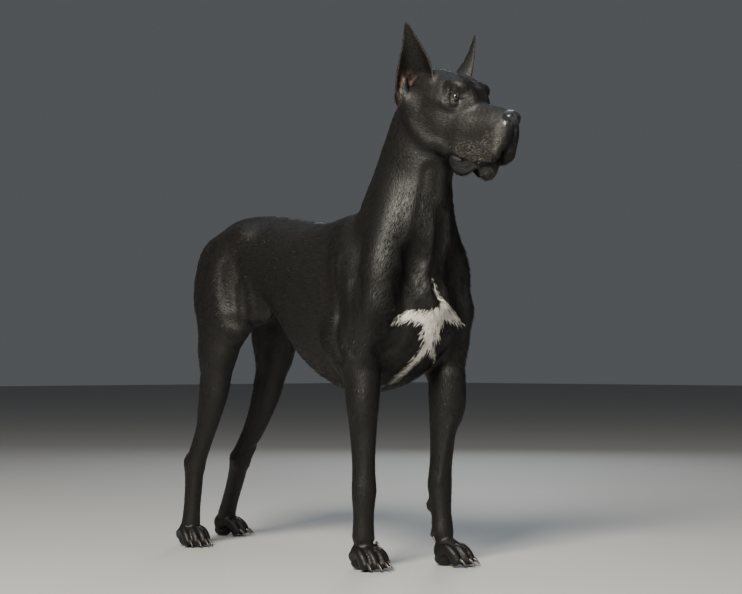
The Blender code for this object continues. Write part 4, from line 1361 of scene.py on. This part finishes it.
zones = head_zones(spots)
zones["white"] = white_edge(spots)
in_head = HEAD.local(spots)
x, _, z = spots.T
zones["head"] = rising(in_head[:, 0] + 0.3 * in_head[:, 2], -0.15, -0.10) * rising(z, 0.84, 0.88)
zones["back"] = rising(-x, -0.06, 0.02) * rising(z, 0.42, 0.52) * rising(-z, -0.80, -0.76)
for name, values in zones.items():
    skin.data.attributes.new(name, "FLOAT", "POINT").data.foreach_set("value", values.astype(np.float32))
print("zones:", {name: round(float(values.mean()), 4) for name, values in zones.items()})

# %% [markdown]
# ## Shader sums as Python
# A Sum wraps a number socket, so 1 - mask or noise * 0.4 adds the Math node it needs.

# %% Sum


class Sum:
    """A number socket that can be added, subtracted and multiplied."""

    def __init__(self, finish, socket):
        self.finish, self.socket = finish, socket

    def math(self, operation, other):
        return self.finish.node("Math", {"operation": operation}, {0: self, 1: other})

    def __add__(self, other):
        return self.math("ADD", other)

    def __mul__(self, other):
        return self.math("MULTIPLY", other)

    def __sub__(self, other):
        return self.math("SUBTRACT", other)

    def __rsub__(self, other):
        return self.math("MULTIPLY", -1.0) + other

    __radd__, __rmul__ = __add__, __mul__

    def between(self, low, high):
        """0 at low, 1 at high, smooth and held beyond."""
        values = {"Value": self, "From Min": low, "From Max": high}
        return self.finish.node("MapRange", {"interpolation_type": "SMOOTHSTEP", "clamp": True}, values)


print("a sum can", sorted(name for name in vars(Sum) if "add" in name or "sub" in name or "mul" in name))

# %% [markdown]
# A Finish is a material in the making: node() adds any node, with its settings set before its sockets, and
# the rest are the few nodes that this dog needs by name.

# %% Finish


class Finish:
    """A material under construction."""

    def __init__(self, name, **sockets):
        self.material = bpy.data.materials.new(name)
        self.material.use_nodes = True
        self.tree = self.material.node_tree
        self.shader = self.tree.nodes["Principled BSDF"]
        self.place = self.node("TexCoord", output="Object")
        for socket, value in sockets.items():
            self.shader.inputs[socket.replace("_", " ")].default_value = value

    def node(self, kind, settings={}, values={}, output=0):
        node = self.tree.nodes.new("ShaderNode" + kind)
        for name, value in settings.items():
            setattr(node, name, value)
        for name, value in values.items():
            self.put(node.inputs[name], value)
        return Sum(self, node.outputs[output])

    def put(self, socket, value):
        if isinstance(value, Sum):
            self.tree.links.new(value.socket, socket)
        elif isinstance(value, tuple) and socket.type == "RGBA" and len(value) == 3:
            socket.default_value = (*value, 1.0)
        else:
            socket.default_value = value

    def set(self, **sockets):
        for name, value in sockets.items():
            self.put(self.shader.inputs[name.replace("_", " ")], value)

    def stored(self, name):
        return self.node("Attribute", {"attribute_name": name}, output="Fac")

    def noise(self, scale, stretch=(1, 1, 1), detail=2.0):
        at = self.node("VectorMath", {"operation": "MULTIPLY"}, {0: self.place, 1: stretch})
        return self.node("TexNoise", {}, {"Vector": at, "Scale": scale, "Detail": detail})

    def mix(self, share, first, second):
        """Two colours; a Mix node's sockets for colours are its seventh and eighth."""
        return self.node("Mix", {"data_type": "RGBA"}, {0: share, 6: first, 7: second}, output=2)

    def bump(self, height, strength):
        return self.node("Bump", {}, {"Height": height, "Strength": strength, "Distance": 1.0})


print("a finish can", [name for name in vars(Finish) if not name.startswith("_")])

# %% [markdown]
# ## The coat's finish
# A great dane's hair is under a centimetre long and lies flat, so most of it is bump: noise drawn out along
# the lie of the coat, back along the trunk, down the neck and legs, finer on the head. The same material
# carries the bare places: cobbled wet nose, lips, the pink-brown cup of the ear, and grey hairs on the lips.

# %% Coat, nose, lips and ears in one finish
BLACK, BLACK_LIT = (0.0022, 0.0022, 0.0023), (0.0080, 0.0069, 0.0056)
WHITE, WHITE_SHADE = (0.80, 0.77, 0.70), (0.42, 0.40, 0.35)
GREY_HAIR = (0.13, 0.12, 0.105)
CUP_DARK, CUP_PINK, EAR_EDGE = (0.012, 0.0065, 0.0050), (0.070, 0.044, 0.034), (0.045, 0.038, 0.032)
LEATHER_SEAM, LEATHER = (0.003, 0.003, 0.003), (0.010, 0.010, 0.0105)
HAIR_SHINE = 0.30


def coat_finish():
    m = Finish("short black coat", Coat_Roughness=0.22, Specular_IOR_Level=HAIR_SHINE)
    back, head = m.stored("back"), m.stored("head")
    lying = m.noise(1.0, (110, 900, 900), 2.0)
    hanging = m.noise(1.0, (850, 850, 100), 2.0)
    fine = m.noise(1.0, (300, 1300, 1100), 2.0)
    body = lying * back + hanging * (1 - back)
    hair = body * (1 - head) + fine * head
    along_x = back.math("MAXIMUM", head)
    locks = m.noise(1.0, (110, 270, 270), 2.0) * along_x
    locks = locks + m.noise(1.0, (230, 230, 80), 2.0) * (1 - along_x)
    broad = m.noise(5.0, detail=3.0)
    tone = (broad * 0.4 + hair * 0.4 + locks * 0.6).between(0.48, 0.90)
    colour = m.mix(tone, BLACK, BLACK_LIT)
    speck = m.noise(620.0, detail=2.0).between(0.54, 0.66) * m.stored("grey")
    colour = m.mix(speck * 0.55, colour, GREY_HAIR)
    fray = m.noise(1.0, (300, 300, 60), 3.0) * 0.018 - 0.009
    white = (m.stored("white") + fray).between(0.0015, -0.0015)
    colour = m.mix(white, colour, m.mix(hair.between(0.3, 0.7), WHITE_SHADE, WHITE))
    cup, nose, wet = m.stored("cup"), m.stored("nose"), m.stored("wet")
    flesh = m.mix(m.noise(90.0, detail=4.0).between(0.35, 0.65), CUP_DARK, CUP_PINK)
    colour = m.mix(cup, colour, flesh)
    colour = m.mix(m.stored("rim") * 0.6, colour, EAR_EDGE)
    cobbles = m.node("TexVoronoi", {"feature": "DISTANCE_TO_EDGE"}, {"Vector": m.place, "Scale": 620.0})
    cobble = cobbles.between(0.0, 0.22)
    bare = nose.math("MAXIMUM", wet)
    colour = m.mix(bare, colour, m.mix(cobble, LEATHER_SEAM, LEATHER))
    rough = 0.60 - 0.22 * tone + white * 0.10
    rough = rough * (1 - bare) + bare * 0.28
    rough = rough * (1 - cup) + cup * 0.52
    folds = m.noise(26.0, (1, 1, 0.5), 2.0)
    height = (hair * 0.0005 + locks * 0.0010) * (1 - bare) + cobble * (nose * 0.0006 + wet * 0.0009)
    height = height + folds * (1 - bare) * 0.0016
    m.set(Base_Color=colour, Roughness=rough, Coat_Weight=bare * 0.5, Normal=m.bump(height, 0.85))
    return m.material


coat_material = coat_finish()
skin.data.materials.clear()
skin.data.materials.append(coat_material)
print("coat finish:", len(coat_material.node_tree.nodes), "nodes")

# %% [markdown]
# ## Eyes
# An eye is a ball with a clear bulge over the iris. The iris, the pupil and the dark ring are told apart
# by how far a point is turned from the line of sight, stored as gaze.

# %% Eyeballs
CORNEA = 0.07  # how much further out the clear bulge is than the ball
EYE_GAP = 0.0006  # the ball is this much smaller than the solid eye, so that it stays inside it


def eyeball(name, node, place):
    bm = bmesh.new()
    bmesh.ops.create_uvsphere(bm, u_segments=48, v_segments=32, radius=1.0)
    gaze = np.array(EYE_OUT) / np.linalg.norm(EYE_OUT)
    turned = []
    for vert in bm.verts:
        way = np.array(vert.co)
        turn = way @ gaze
        turned.append(turn)
        radius = (EYE_RADIUS - EYE_GAP) * (1 + CORNEA * rising(turn, 0.78, 0.98))
        vert.co = Vector(place.point(np.array(eye_spot(0)) + way * radius) + SHIFT)
    bmesh.ops.recalc_face_normals(bm, faces=bm.faces)
    obj = new_object(name, bm)
    obj.data.attributes.new("gaze", "FLOAT", "POINT").data.foreach_set("value", turned)
    obj.data.shade_smooth()
    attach(obj, "root")
    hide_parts(node)
    return obj


print("an eyeball is", round(2000 * (EYE_RADIUS - EYE_GAP), 1), "mm across")

# %% [markdown]
# The iris is dark brown and streaked, with a dark ring round it. A clear coat makes the whole ball wet.

# %% Eyes' finish


def eye_finish():
    m = Finish("wet brown eye", Coat_Weight=1.0, Coat_Roughness=0.02)
    gaze = m.stored("gaze")
    streaks = m.noise(420.0, detail=3.0)
    iris = m.mix(streaks.between(0.3, 0.7), (0.008, 0.005, 0.002), (0.062, 0.036, 0.012))
    white = m.mix(m.noise(160.0).between(0.4, 0.7), (0.020, 0.012, 0.010), (0.060, 0.040, 0.033))
    colour = m.mix(gaze.between(0.80, 0.84), white, (0.004, 0.003, 0.003))
    colour = m.mix(gaze.between(0.84, 0.88), colour, iris)
    colour = m.mix(gaze.between(0.925, 0.940), colour, (0.001, 0.001, 0.001))
    m.set(Base_Color=colour, Roughness=0.16 + 0.1 * (1 - gaze.between(0.8, 0.86)))
    return m.material


eye_material = eye_finish()
for side, place in (("left", HEAD), ("right", HEAD_RIGHT)):
    ball = eyeball(f"eyeball_{side}", f"eye_{side}", place)
    ball.data.materials.append(eye_material)
    print(ball.name, len(ball.data.polygons), "faces")

# %% [markdown]
# ## Claws
# Dark horn, ridged along its length and worn paler at the tip. Each starts as a plain cylinder; planes cut
# it into rings, and the rings are laid along a bent line and drawn in to the point.

# %% Claws
CLAW_RINGS, CLAW_SIZE = 14, (0.0135, 0.0042)  # length and half thickness in the solids


def claw(name, place, tip, turn, node=None, size=1.0, drop=0.0):
    length, thick = (v * size for v in CLAW_SIZE)
    bm = bmesh.new()
    bmesh.ops.create_cone(bm, cap_ends=True, segments=14, radius1=1, radius2=1, depth=1)
    for i in range(1, CLAW_RINGS):
        height = (0, 0, i / CLAW_RINGS - 0.5)
        geometry = bm.verts[:] + bm.edges[:] + bm.faces[:]
        bmesh.ops.bisect_plane(bm, geom=geometry, plane_co=height, plane_no=(0, 0, 1))
    along = []
    for vert in bm.verts:
        x, y, z = vert.co
        s = z + 0.5
        along.append(s)
        angle = math.radians(-8 - 48 * s)
        r = thick * (1 - s**1.6) + 0.0006
        side, rise = r * 0.75 * y, r * x
        fore = -0.006 + length * 1.45 * s - rise * math.sin(angle)
        up = tip[2] + length * 0.30 - length * 0.95 * s * s + rise * math.cos(angle) - drop * s
        ahead = tip[0] + fore * math.cos(turn) - side * math.sin(turn)
        aside = tip[1] + fore * math.sin(turn) + side * math.cos(turn)
        vert.co = Vector(place.point((ahead, aside, up)) + SHIFT)
    bmesh.ops.recalc_face_normals(bm, faces=bm.faces)
    obj = new_object(name, bm)
    obj.data.attributes.new("along", "FLOAT", "POINT").data.foreach_set("value", along)
    obj.data.shade_smooth()
    obj.data.materials.append(claw_material)
    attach(obj, "root")
    if node:
        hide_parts(node)


print("a claw is", round(1000 * CLAW_SIZE[0], 1), "mm long before it is bent")

# %% [markdown]
# Horn is dark at the root, streaked along its length and rubbed paler at the tip.

# %% Claws' finish


def claw_finish():
    m = Finish("dark horn", Coat_Weight=0.2)
    along = m.stored("along")
    streak = m.noise(1.0, (900, 900, 160), 3.0)
    colour = m.mix(streak.between(0.35, 0.7), (0.016, 0.013, 0.011), (0.060, 0.047, 0.038))
    colour = m.mix(along.between(0.35, 0.95) * 0.8, colour, (0.085, 0.068, 0.056))
    m.set(Base_Color=colour, Roughness=0.28 + 0.2 * streak, Normal=m.bump(streak * 0.0002, 0.6))
    return m.material


claw_material = claw_finish()
print("claw finish:", len(claw_material.node_tree.nodes), "nodes")

# %% [markdown]
# A claw stands before each toe, a little turned out with it. The dewclaws hang on the inner side of the
# forelegs, where the skin is, so each is put on the nearest spot of the skin.

# %% Claws in place
DEWCLAWS = (("right_fore_dewclaw", (0.107, -0.070, 0.062)), ("left_fore_dewclaw", (0.134, 0.0625, 0.064)))
for name, (spot, turn, wide, long) in PAWS.items():
    for i, (side, reach) in enumerate(TOES):
        tip = (reach * long + 0.008, side * wide * 1.02, 0.0135)
        claw(f"{name}_nail_{i + 1}", paw_places[name], tip, side * 3, f"{name}_claw_{i + 1}")
tree = tree_of(spots, skin)
for name, guess in DEWCLAWS:
    spot, normal, _, _ = tree.find_nearest(Vector(guess))
    spot = spot - normal * 0.0015
    claw(name, Place((spot.x, spot.y, 0.0), math.radians(-6)), (0.0, 0.0, spot.z), 0.0, size=0.8, drop=0.005)
print("claws:", len(PAWS) * len(TOES), "and two dewclaws")

# %% [markdown]
# ## Which way the hair lies
# Hair lies along the body: back over the trunk, down the neck and legs, back from the nose, up the ears. The
# tubes that shaped the body know this, so each root takes the direction of the tube rings nearest to it.

# %% The lie of the coat


def lie_lines():
    spots, ways, reaches = [], [], []
    for mass in everything:
        if isinstance(mass, Tube) and not mass.cut and mass.radii.max() > 0.009:
            spots.append(mass.points)
            ways.append(mass.t * mass.lie)
            reaches.append(mass.radii.max(1))
    for sheet in ears:
        grid = sheet.points.reshape(EAR_ROWS, EAR_COLUMNS, 3)[:: 3, :: 4]
        up = np.gradient(grid, axis=0)
        spots.append(grid.reshape(-1, 3))
        ways.append((up / np.linalg.norm(up, axis=2, keepdims=True)).reshape(-1, 3) * 3)
        reaches.append(np.full(grid.shape[0] * grid.shape[1], 0.012))
    return np.vstack(spots), np.vstack(ways), np.concatenate(reaches)


print("rings that say how hair lies:", len(lie_lines()[0]))

# %% [markdown]
# On the breast the hair runs down and outwards from the middle, and everywhere its own weight draws it down
# a little.

# %% Combing
COMB_CHUNK = 4000  # so many roots are combed at a time, for the memory's sake


def combed(p, normals):
    """The way the hair lies at each point, along the skin."""
    spots, ways, reaches = lie_lines()
    made = []
    for k in range(0, len(p), COMB_CHUNK):
        far = ((p[k : k + COMB_CHUNK, None] - spots) ** 2).sum(2) / reaches**2
        weight = np.exp(-1.5 * far) / reaches
        made.append(weight @ ways / weight.sum(1).clip(1e-12)[:, None])
    way = np.vstack(made) + (0, 0, -0.12)
    breast = rising(p[:, 0], 0.10, 0.17) * rising(p[:, 2], 0.40, 0.46) * rising(-p[:, 2], -0.80, -0.72)
    outward = np.column_stack([p[:, 0] * 0, np.clip(p[:, 1] / 0.03, -1, 1), p[:, 0] * 0 - 0.9])
    way += breast[:, None] * outward * 1.3
    way -= normals * (way * normals).sum(1)[:, None]
    return way / np.linalg.norm(way, axis=1).clip(1e-9)[:, None]


withers, upward = np.array(((-0.1, 0, 0.8),)), np.array(((0, 0, 1.0),))
print("hair on the withers lies along", combed(withers, upward)[0].round(2))

# %% [markdown]
# ## Tufts
# One tuft is a flat three-sided spike: a ring of three points at the root, a thinner ring half way, a point.
# It is made once with bmesh and laid out many thousand times as plain arrays, because ninety thousand
# objects would be too slow, and the export drops particle hair and instances.

# %% One tuft


def tuft_shape():
    """Points (along, across, up) and triangles of one tuft, each from 0 to 1."""
    bm = bmesh.new()
    ring = bmesh.ops.create_circle(bm, segments=3, radius=1.0)["verts"]
    for along, size in ((0.5, 0.72), (1.0, 0.0)):
        edges = [edge for edge in bm.edges if all(vert in ring for vert in edge.verts)]
        grown = bmesh.ops.extrude_edge_only(bm, edges=edges)["geom"]
        ring = [item for item in grown if isinstance(item, bmesh.types.BMVert)]
        for vert in ring:
            vert.co.x, vert.co.y, vert.co.z = vert.co.x * size, vert.co.y * size, along
    bmesh.ops.remove_doubles(bm, verts=bm.verts, dist=0.001)
    bmesh.ops.triangulate(bm, faces=bm.faces)
    bmesh.ops.recalc_face_normals(bm, faces=bm.faces)
    bm.verts.index_update()
    points = np.array([(vert.co.z, vert.co.x, vert.co.y) for vert in bm.verts])
    faces = np.array([[vert.index for vert in face.verts] for face in bm.faces])
    bm.free()
    return points, faces


TUFT, TUFT_FACES = tuft_shape()
print("a tuft has", len(TUFT), "points and", len(TUFT_FACES), "faces")

# %% [markdown]
# Roots are scattered over the skin by area and by need: dense on the face, and where the coat breaks the
# outline, as on the throat, breast, belly, the backs of the thighs, the ears' edges and the tail.

# %% The skin's triangles
skin.data.calc_loop_triangles()
corners = np.empty(len(skin.data.loop_triangles) * 3, int)
skin.data.loop_triangles.foreach_get("vertices", corners)
corners = corners.reshape(-1, 3)
skin_normals = normals_of(skin).astype(float)
tri = spots[corners]
centres = tri.mean(1)
facing = np.cross(tri[:, 1] - tri[:, 0], tri[:, 2] - tri[:, 0])
areas = np.linalg.norm(facing, axis=1) / 2
facing /= np.linalg.norm(facing, axis=1).clip(1e-12)[:, None]
print("skin:", len(tri), "triangles,", round(float(areas.sum()), 2), "square metres")

# %% Where tufts stand, and how big they are
TUFTS = 96000
TUFT_LENGTH, TUFT_HALF = 0.0125, 0.00062


def coat_plan(p, n, zone):
    """Density, length, half width and lift of the tufts at each point."""
    x, y, z = p.T
    head = zone("head")
    feet = rising(-z, -0.13, -0.07)
    legs = rising(-z, -0.44, -0.34) * (x > -0.75)
    thigh_back = rising(-n[:, 0], 0.45, 0.8) * rising(-x, 0.40, 0.46) * rising(z, 0.36, 0.44)
    belly = rising(-n[:, 2], 0.45, 0.8) * rising(z, 0.36, 0.40) * (1 - legs)
    breast = rising(n[:, 0], 0.35, 0.7) * rising(x, 0.08, 0.14) * rising(z, 0.42, 0.48) * (1 - head)
    tail = rising(-x, 0.575, 0.60) * rising(abs(y) * -1, -0.05, -0.03) * rising(z, 0.15, 0.2)
    mark = rising(-abs(white_edge(p)), -0.020, -0.006)
    rough_edge = np.maximum.reduce([thigh_back, belly * 0.8, breast * 0.7, tail, mark])
    density = 1 + 1.6 * rough_edge + 1.0 * legs + 3.0 * feet + 3.6 * head
    density = density * (1 - zone("nose")) * (1 - zone("wet")) * (1 - 0.85 * zone("cup"))
    density += 4 * zone("rim")
    length = TUFT_LENGTH * (1 + 0.35 * rough_edge) * (1 - 0.35 * legs)
    length = length * (1 - 0.45 * feet) * (1 - 0.52 * head)
    half = TUFT_HALF * (1 - 0.2 * legs) * (1 - 0.35 * feet) * (1 - 0.40 * head) * (1 + 0.15 * mark)
    lift = 0.10 + 0.16 * rough_edge + 0.12 * zone("rim") + 0.05 * head
    return density, length, half, lift


density = coat_plan(centres, facing, lambda name: zones[name][corners].mean(1))[0]
density[centres[:, 2] < 0.010] = 0
print("density from", round(float(density.min()), 2), "to", round(float(density.max()), 2))

# %% Roots
chosen = random.choice(len(areas), TUFTS, p=areas * density / (areas * density).sum())
share = random.dirichlet((1, 1, 1), TUFTS)
roots = (tri[chosen] * share[:, :, None]).sum(1)
root_normals = (skin_normals[corners[chosen]] * share[:, :, None]).sum(1)
root_normals /= np.linalg.norm(root_normals, axis=1)[:, None]
root_zone = {name: (values[corners[chosen]] * share).sum(1) for name, values in zones.items()}
_, lengths, halves, lifts = coat_plan(roots, root_normals, root_zone.get)
ways = combed(roots, root_normals)
print("roots:", TUFTS, "mean length", round(float(lengths.mean()), 4))

# %% [markdown]
# ## An unwrap for the bake
# The export bakes colours into a UV map. A thinned copy of the skin is unwrapped into a UV map, and each
# tuft gets a small patch of that map where its root is.

# %% Unwrap of the skin's own shape


def unwrapped_skin():
    copy = bpy.data.objects.new("unwrap", skin.data.copy())
    scene.collection.objects.link(copy)
    thin = copy.modifiers.new("Thin", "DECIMATE")
    thin.ratio = 0.05
    apply_modifiers(copy)
    for obj in bpy.context.selected_objects:
        obj.select_set(False)
    bpy.context.view_layer.objects.active = copy
    copy.select_set(True)
    bpy.ops.object.mode_set(mode="EDIT")
    bpy.ops.mesh.select_all(action="SELECT")
    bpy.ops.mesh.quads_convert_to_tris()
    bpy.ops.uv.smart_project(angle_limit=math.radians(66), island_margin=0.004)
    bpy.ops.object.mode_set(mode="OBJECT")
    points = points_of(copy) - SHIFT
    faces = [tuple(face.vertices) for face in copy.data.polygons]
    uv = np.array([list(item.uv) for item in copy.data.uv_layers.active.data]).reshape(-1, 3, 2)
    bpy.data.objects.remove(copy)
    return points, faces, uv


thin_points, thin_faces, thin_uv = unwrapped_skin()
tree = BVHTree.FromPolygons([Vector(p) for p in thin_points], thin_faces)
root_uv = np.empty((TUFTS, 2))
for k, root in enumerate(roots):
    spot, _, face, _ = tree.find_nearest(Vector(root))
    a, b, c = (Vector(thin_points[i]) for i in thin_faces[face])
    flat = [Vector((*uv, 0)) for uv in thin_uv[face]]
    root_uv[k] = barycentric_transform(spot, a, b, c, *flat)[:2]
print("unwrapped", len(thin_faces), "faces")

# %% [markdown]
# ## The coat
# Each tuft of the one shape is stretched, turned a little out of the lie and bent, and lifted most where the
# coat is rough. Its normals are mostly the skin's, so that the tufts shine with it as one coat.

# %% Laying out a coat piece
PATCH = 0.003  # the size of a tuft's patch in the unwrap
SUNK = 0.0007  # how deep a root sits in the skin


def coat_piece(name, mine):
    """The tufts of one part of the coat as one mesh."""
    n = len(mine)
    root, normal, way = roots[mine], root_normals[mine], ways[mine]
    turn = random.normal(0, 0.16, n)[:, None]
    across = np.cross(normal, way)
    way = way * np.cos(turn) + across * np.sin(turn)
    across = np.cross(normal, way)
    length = (lengths[mine] * random.uniform(0.7, 1.3, n))[:, None, None]
    half = (halves[mine] * random.uniform(0.7, 1.35, n))[:, None, None]
    lift = (lifts[mine] * random.uniform(0.4, 1.6, n))[:, None, None]
    along, side, up = (TUFT[None, :, i : i + 1] for i in range(3))
    rise = lift * along * (1.35 - 0.6 * along) * length - SUNK * (1 - along) + up * half * 0.45
    points = root[:, None] + way[:, None] * along * length + across[:, None] * side * half
    points = points + normal[:, None] * rise
    bend = random.normal(0, 0.10, n)[:, None, None] * along**2 * length
    points = (points + across[:, None] * bend + SHIFT).reshape(-1, 3)
    points[:, 2] = points[:, 2].clip(0.0006)
    faces = (TUFT_FACES[None] + np.arange(n)[:, None, None] * len(TUFT)).reshape(-1, 3)
    mesh = bpy.data.meshes.new(name)
    mesh.vertices.add(len(points))
    mesh.loops.add(faces.size)
    mesh.polygons.add(len(faces))
    mesh.vertices.foreach_set("co", points.ravel())
    mesh.loops.foreach_set("vertex_index", faces.ravel())
    mesh.polygons.foreach_set("loop_start", np.arange(0, faces.size, 3))
    mesh.update(calc_edges=True)
    patch = root_uv[mine][:, None] + (TUFT[None, :, :2] * (1, 0.5) - (0.5, 0)) * PATCH
    uv = patch.reshape(-1, 2)[faces.ravel()]
    mesh.uv_layers.new(name="OFBake").data.foreach_set("uv", uv.ravel())
    stored = {
        "along": np.tile(TUFT[:, 0], n),
        "shade": np.repeat(random.uniform(0, 1, n), len(TUFT)),
        "pale": np.repeat(pale[mine], len(TUFT)),
        "grizzle": np.repeat(grizzle[mine], len(TUFT)),
    }
    for key, values in stored.items():
        mesh.attributes.new(key, "FLOAT", "POINT").data.foreach_set("value", values.astype(np.float32))
    mesh.shade_smooth()
    shading = normal[:, None] + across[:, None] * side * 0.45
    shading = shading + way[:, None] * random.normal(0, 0.20, n)[:, None, None]
    shading = shading.reshape(-1, 3) / np.linalg.norm(shading.reshape(-1, 3), axis=1)[:, None]
    mesh.normals_split_custom_set_from_vertices(shading.tolist())
    obj = bpy.data.objects.new(name, mesh)
    scene.collection.objects.link(obj)
    obj.data.materials.append(tuft_material)
    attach(obj, "root")
    print(name, n, "tufts,", len(faces), "triangles")


# %% [markdown]
# Black hair is never one black: each tuft has its own shade. White tufts are paler at the tip, and grey ones
# stand singly on the lips.

# %% Finish of the tufts
TUFT_LIT, WHITE_TIP, GRIZZLE = (0.0110, 0.0094, 0.0076), (0.88, 0.86, 0.80), (0.20, 0.185, 0.165)


def tuft_finish():
    m = Finish("tufts of black hair", Specular_IOR_Level=HAIR_SHINE)
    shade, along = m.stored("shade"), m.stored("along")
    black = m.mix(shade, BLACK, TUFT_LIT)
    white = m.mix((shade * 0.6 + along * 0.5).between(0.1, 0.8), WHITE_SHADE, WHITE_TIP)
    # pale carries the white mark, lowered under the chest as painted shade.
    colour = m.mix(m.stored("pale"), black, white)
    colour = m.mix(m.stored("grizzle") * 0.8, colour, GRIZZLE)
    m.set(Base_Color=colour, Roughness=0.38 + shade * 0.22)
    return m.material


tuft_material = tuft_finish()
print("tuft finish:", len(tuft_material.node_tree.nodes), "nodes")

# %% [markdown]
# The coat is laid out in pieces, so that each stays under 200,000 triangles. A tuft is white where its root
# is in the mark, with a ragged edge, and a part of those on the lips are grey. Low on the chest the white
# tufts
# are darkened towards black: painted shade under the chest.

# %% Coat pieces
MOST_TUFTS = 21000  # in one piece
edge = white_edge(roots) + random.normal(0, 0.0035, TUFTS)
# The white fades to about a third from 0.50 m down to 0.42 m: painted shade under the chest.
pale = (edge < 0).astype(float) * np.interp(roots[:, 2], (0.42, 0.50), (0.35, 1.0))
grizzle = (random.uniform(0, 1, TUFTS) < root_zone["grey"] * 0.36).astype(float)
in_piece = {
    "coat_head": root_zone["head"] > 0.5,
    "coat_hindquarters": roots[:, 0] < -0.33,
    "coat_forelegs": (roots[:, 2] < 0.42) & (roots[:, 0] > -0.02),
    "coat_barrel": roots[:, 0] < 0.06,
    "coat_neck_and_breast": np.ones(TUFTS, bool),
}
left = np.ones(TUFTS, bool)
for name, where in in_piece.items():
    mine = np.flatnonzero(where & left)
    left[mine] = False
    for k, part in enumerate(np.array_split(mine, math.ceil(len(mine) / MOST_TUFTS))):
        coat_piece(name if len(mine) <= MOST_TUFTS else f"{name}_{k + 1}", part)

# %% [markdown]
# ## Floor, light and camera
# A pale floor and a few large soft lights, as in a studio. A black glossy coat is drawn by what it
# reflects, so the lights are broad: a warm key from the camera's left, where the sun stood, a cool one above,
# a weak one before the breast and a thin rim behind.

# %% Floor
PALE = (0.38, 0.375, 0.365)
bm = bmesh.new()
bmesh.ops.create_grid(bm, x_segments=2, y_segments=2, size=30.0)
floor = new_object("floor", bm)
floor_material = bpy.data.materials.new("pale floor")
floor_material.use_nodes = True
shader = floor_material.node_tree.nodes["Principled BSDF"]
shader.inputs["Base Color"].default_value = (*PALE, 1)
shader.inputs["Roughness"].default_value = 0.7
floor.data.materials.append(floor_material)
print("floor:", round(floor.dimensions.x), "metres square")

# %% Lights


def soft_light(name, at, towards, size, power, colour):
    light = bpy.data.lights.new(name, "AREA")
    light.shape, light.size, light.size_y = "RECTANGLE", *size
    light.energy, light.color = power, colour
    obj = bpy.data.objects.new(name, light)
    scene.collection.objects.link(obj)
    obj.location = at
    obj.rotation_euler = (Vector(towards) - Vector(at)).to_track_quat("-Z", "Y").to_euler()


middle = (0.0, 0.0, 0.6)
soft_light("key", (1.9, -3.6, 3.4), middle, (1.5, 1.7), 610, (1.0, 0.95, 0.84))
soft_light("sky", (-0.6, 0.4, 4.2), middle, (3.0, 3.0), 34, (0.75, 0.88, 1.0))
soft_light("front", (4.2, 1.0, 2.4), middle, (1.2, 1.6), 26, (1.0, 0.96, 0.90))
soft_light("rim", (-2.8, 3.4, 2.2), middle, (1.0, 2.0), 40, (0.85, 0.93, 1.0))
world = bpy.data.worlds.new("studio")
world.use_nodes = True
background = world.node_tree.nodes["Background"]
background.inputs["Color"].default_value = (0.80, 0.84, 0.90, 1)
background.inputs["Strength"].default_value = 0.11
scene.world = world

# %% [markdown]
# The camera stands low, in front of the dog's right shoulder, at the place that puts feet, back and head
# where the photo has them.

# %% Camera
CAMERA_SPOT = Vector((2.804, -2.620, 0.456)) + Vector(SHIFT)
CAMERA_TURN, CAMERA_RISE = math.radians(43.06), math.radians(2.405)
camera_data = bpy.data.cameras.new("camera")
camera_data.sensor_width, camera_data.lens = 36, 79.77
camera = bpy.data.objects.new("camera", camera_data)
scene.collection.objects.link(camera)
camera.location = CAMERA_SPOT
level = math.cos(CAMERA_RISE)
sight = Vector((-math.cos(CAMERA_TURN) * level, math.sin(CAMERA_TURN) * level, math.sin(CAMERA_RISE)))
camera.rotation_euler = sight.to_track_quat("-Z", "Y").to_euler()
scene.camera = camera
print("camera:", [round(v, 3) for v in camera.location], "lens", camera_data.lens)
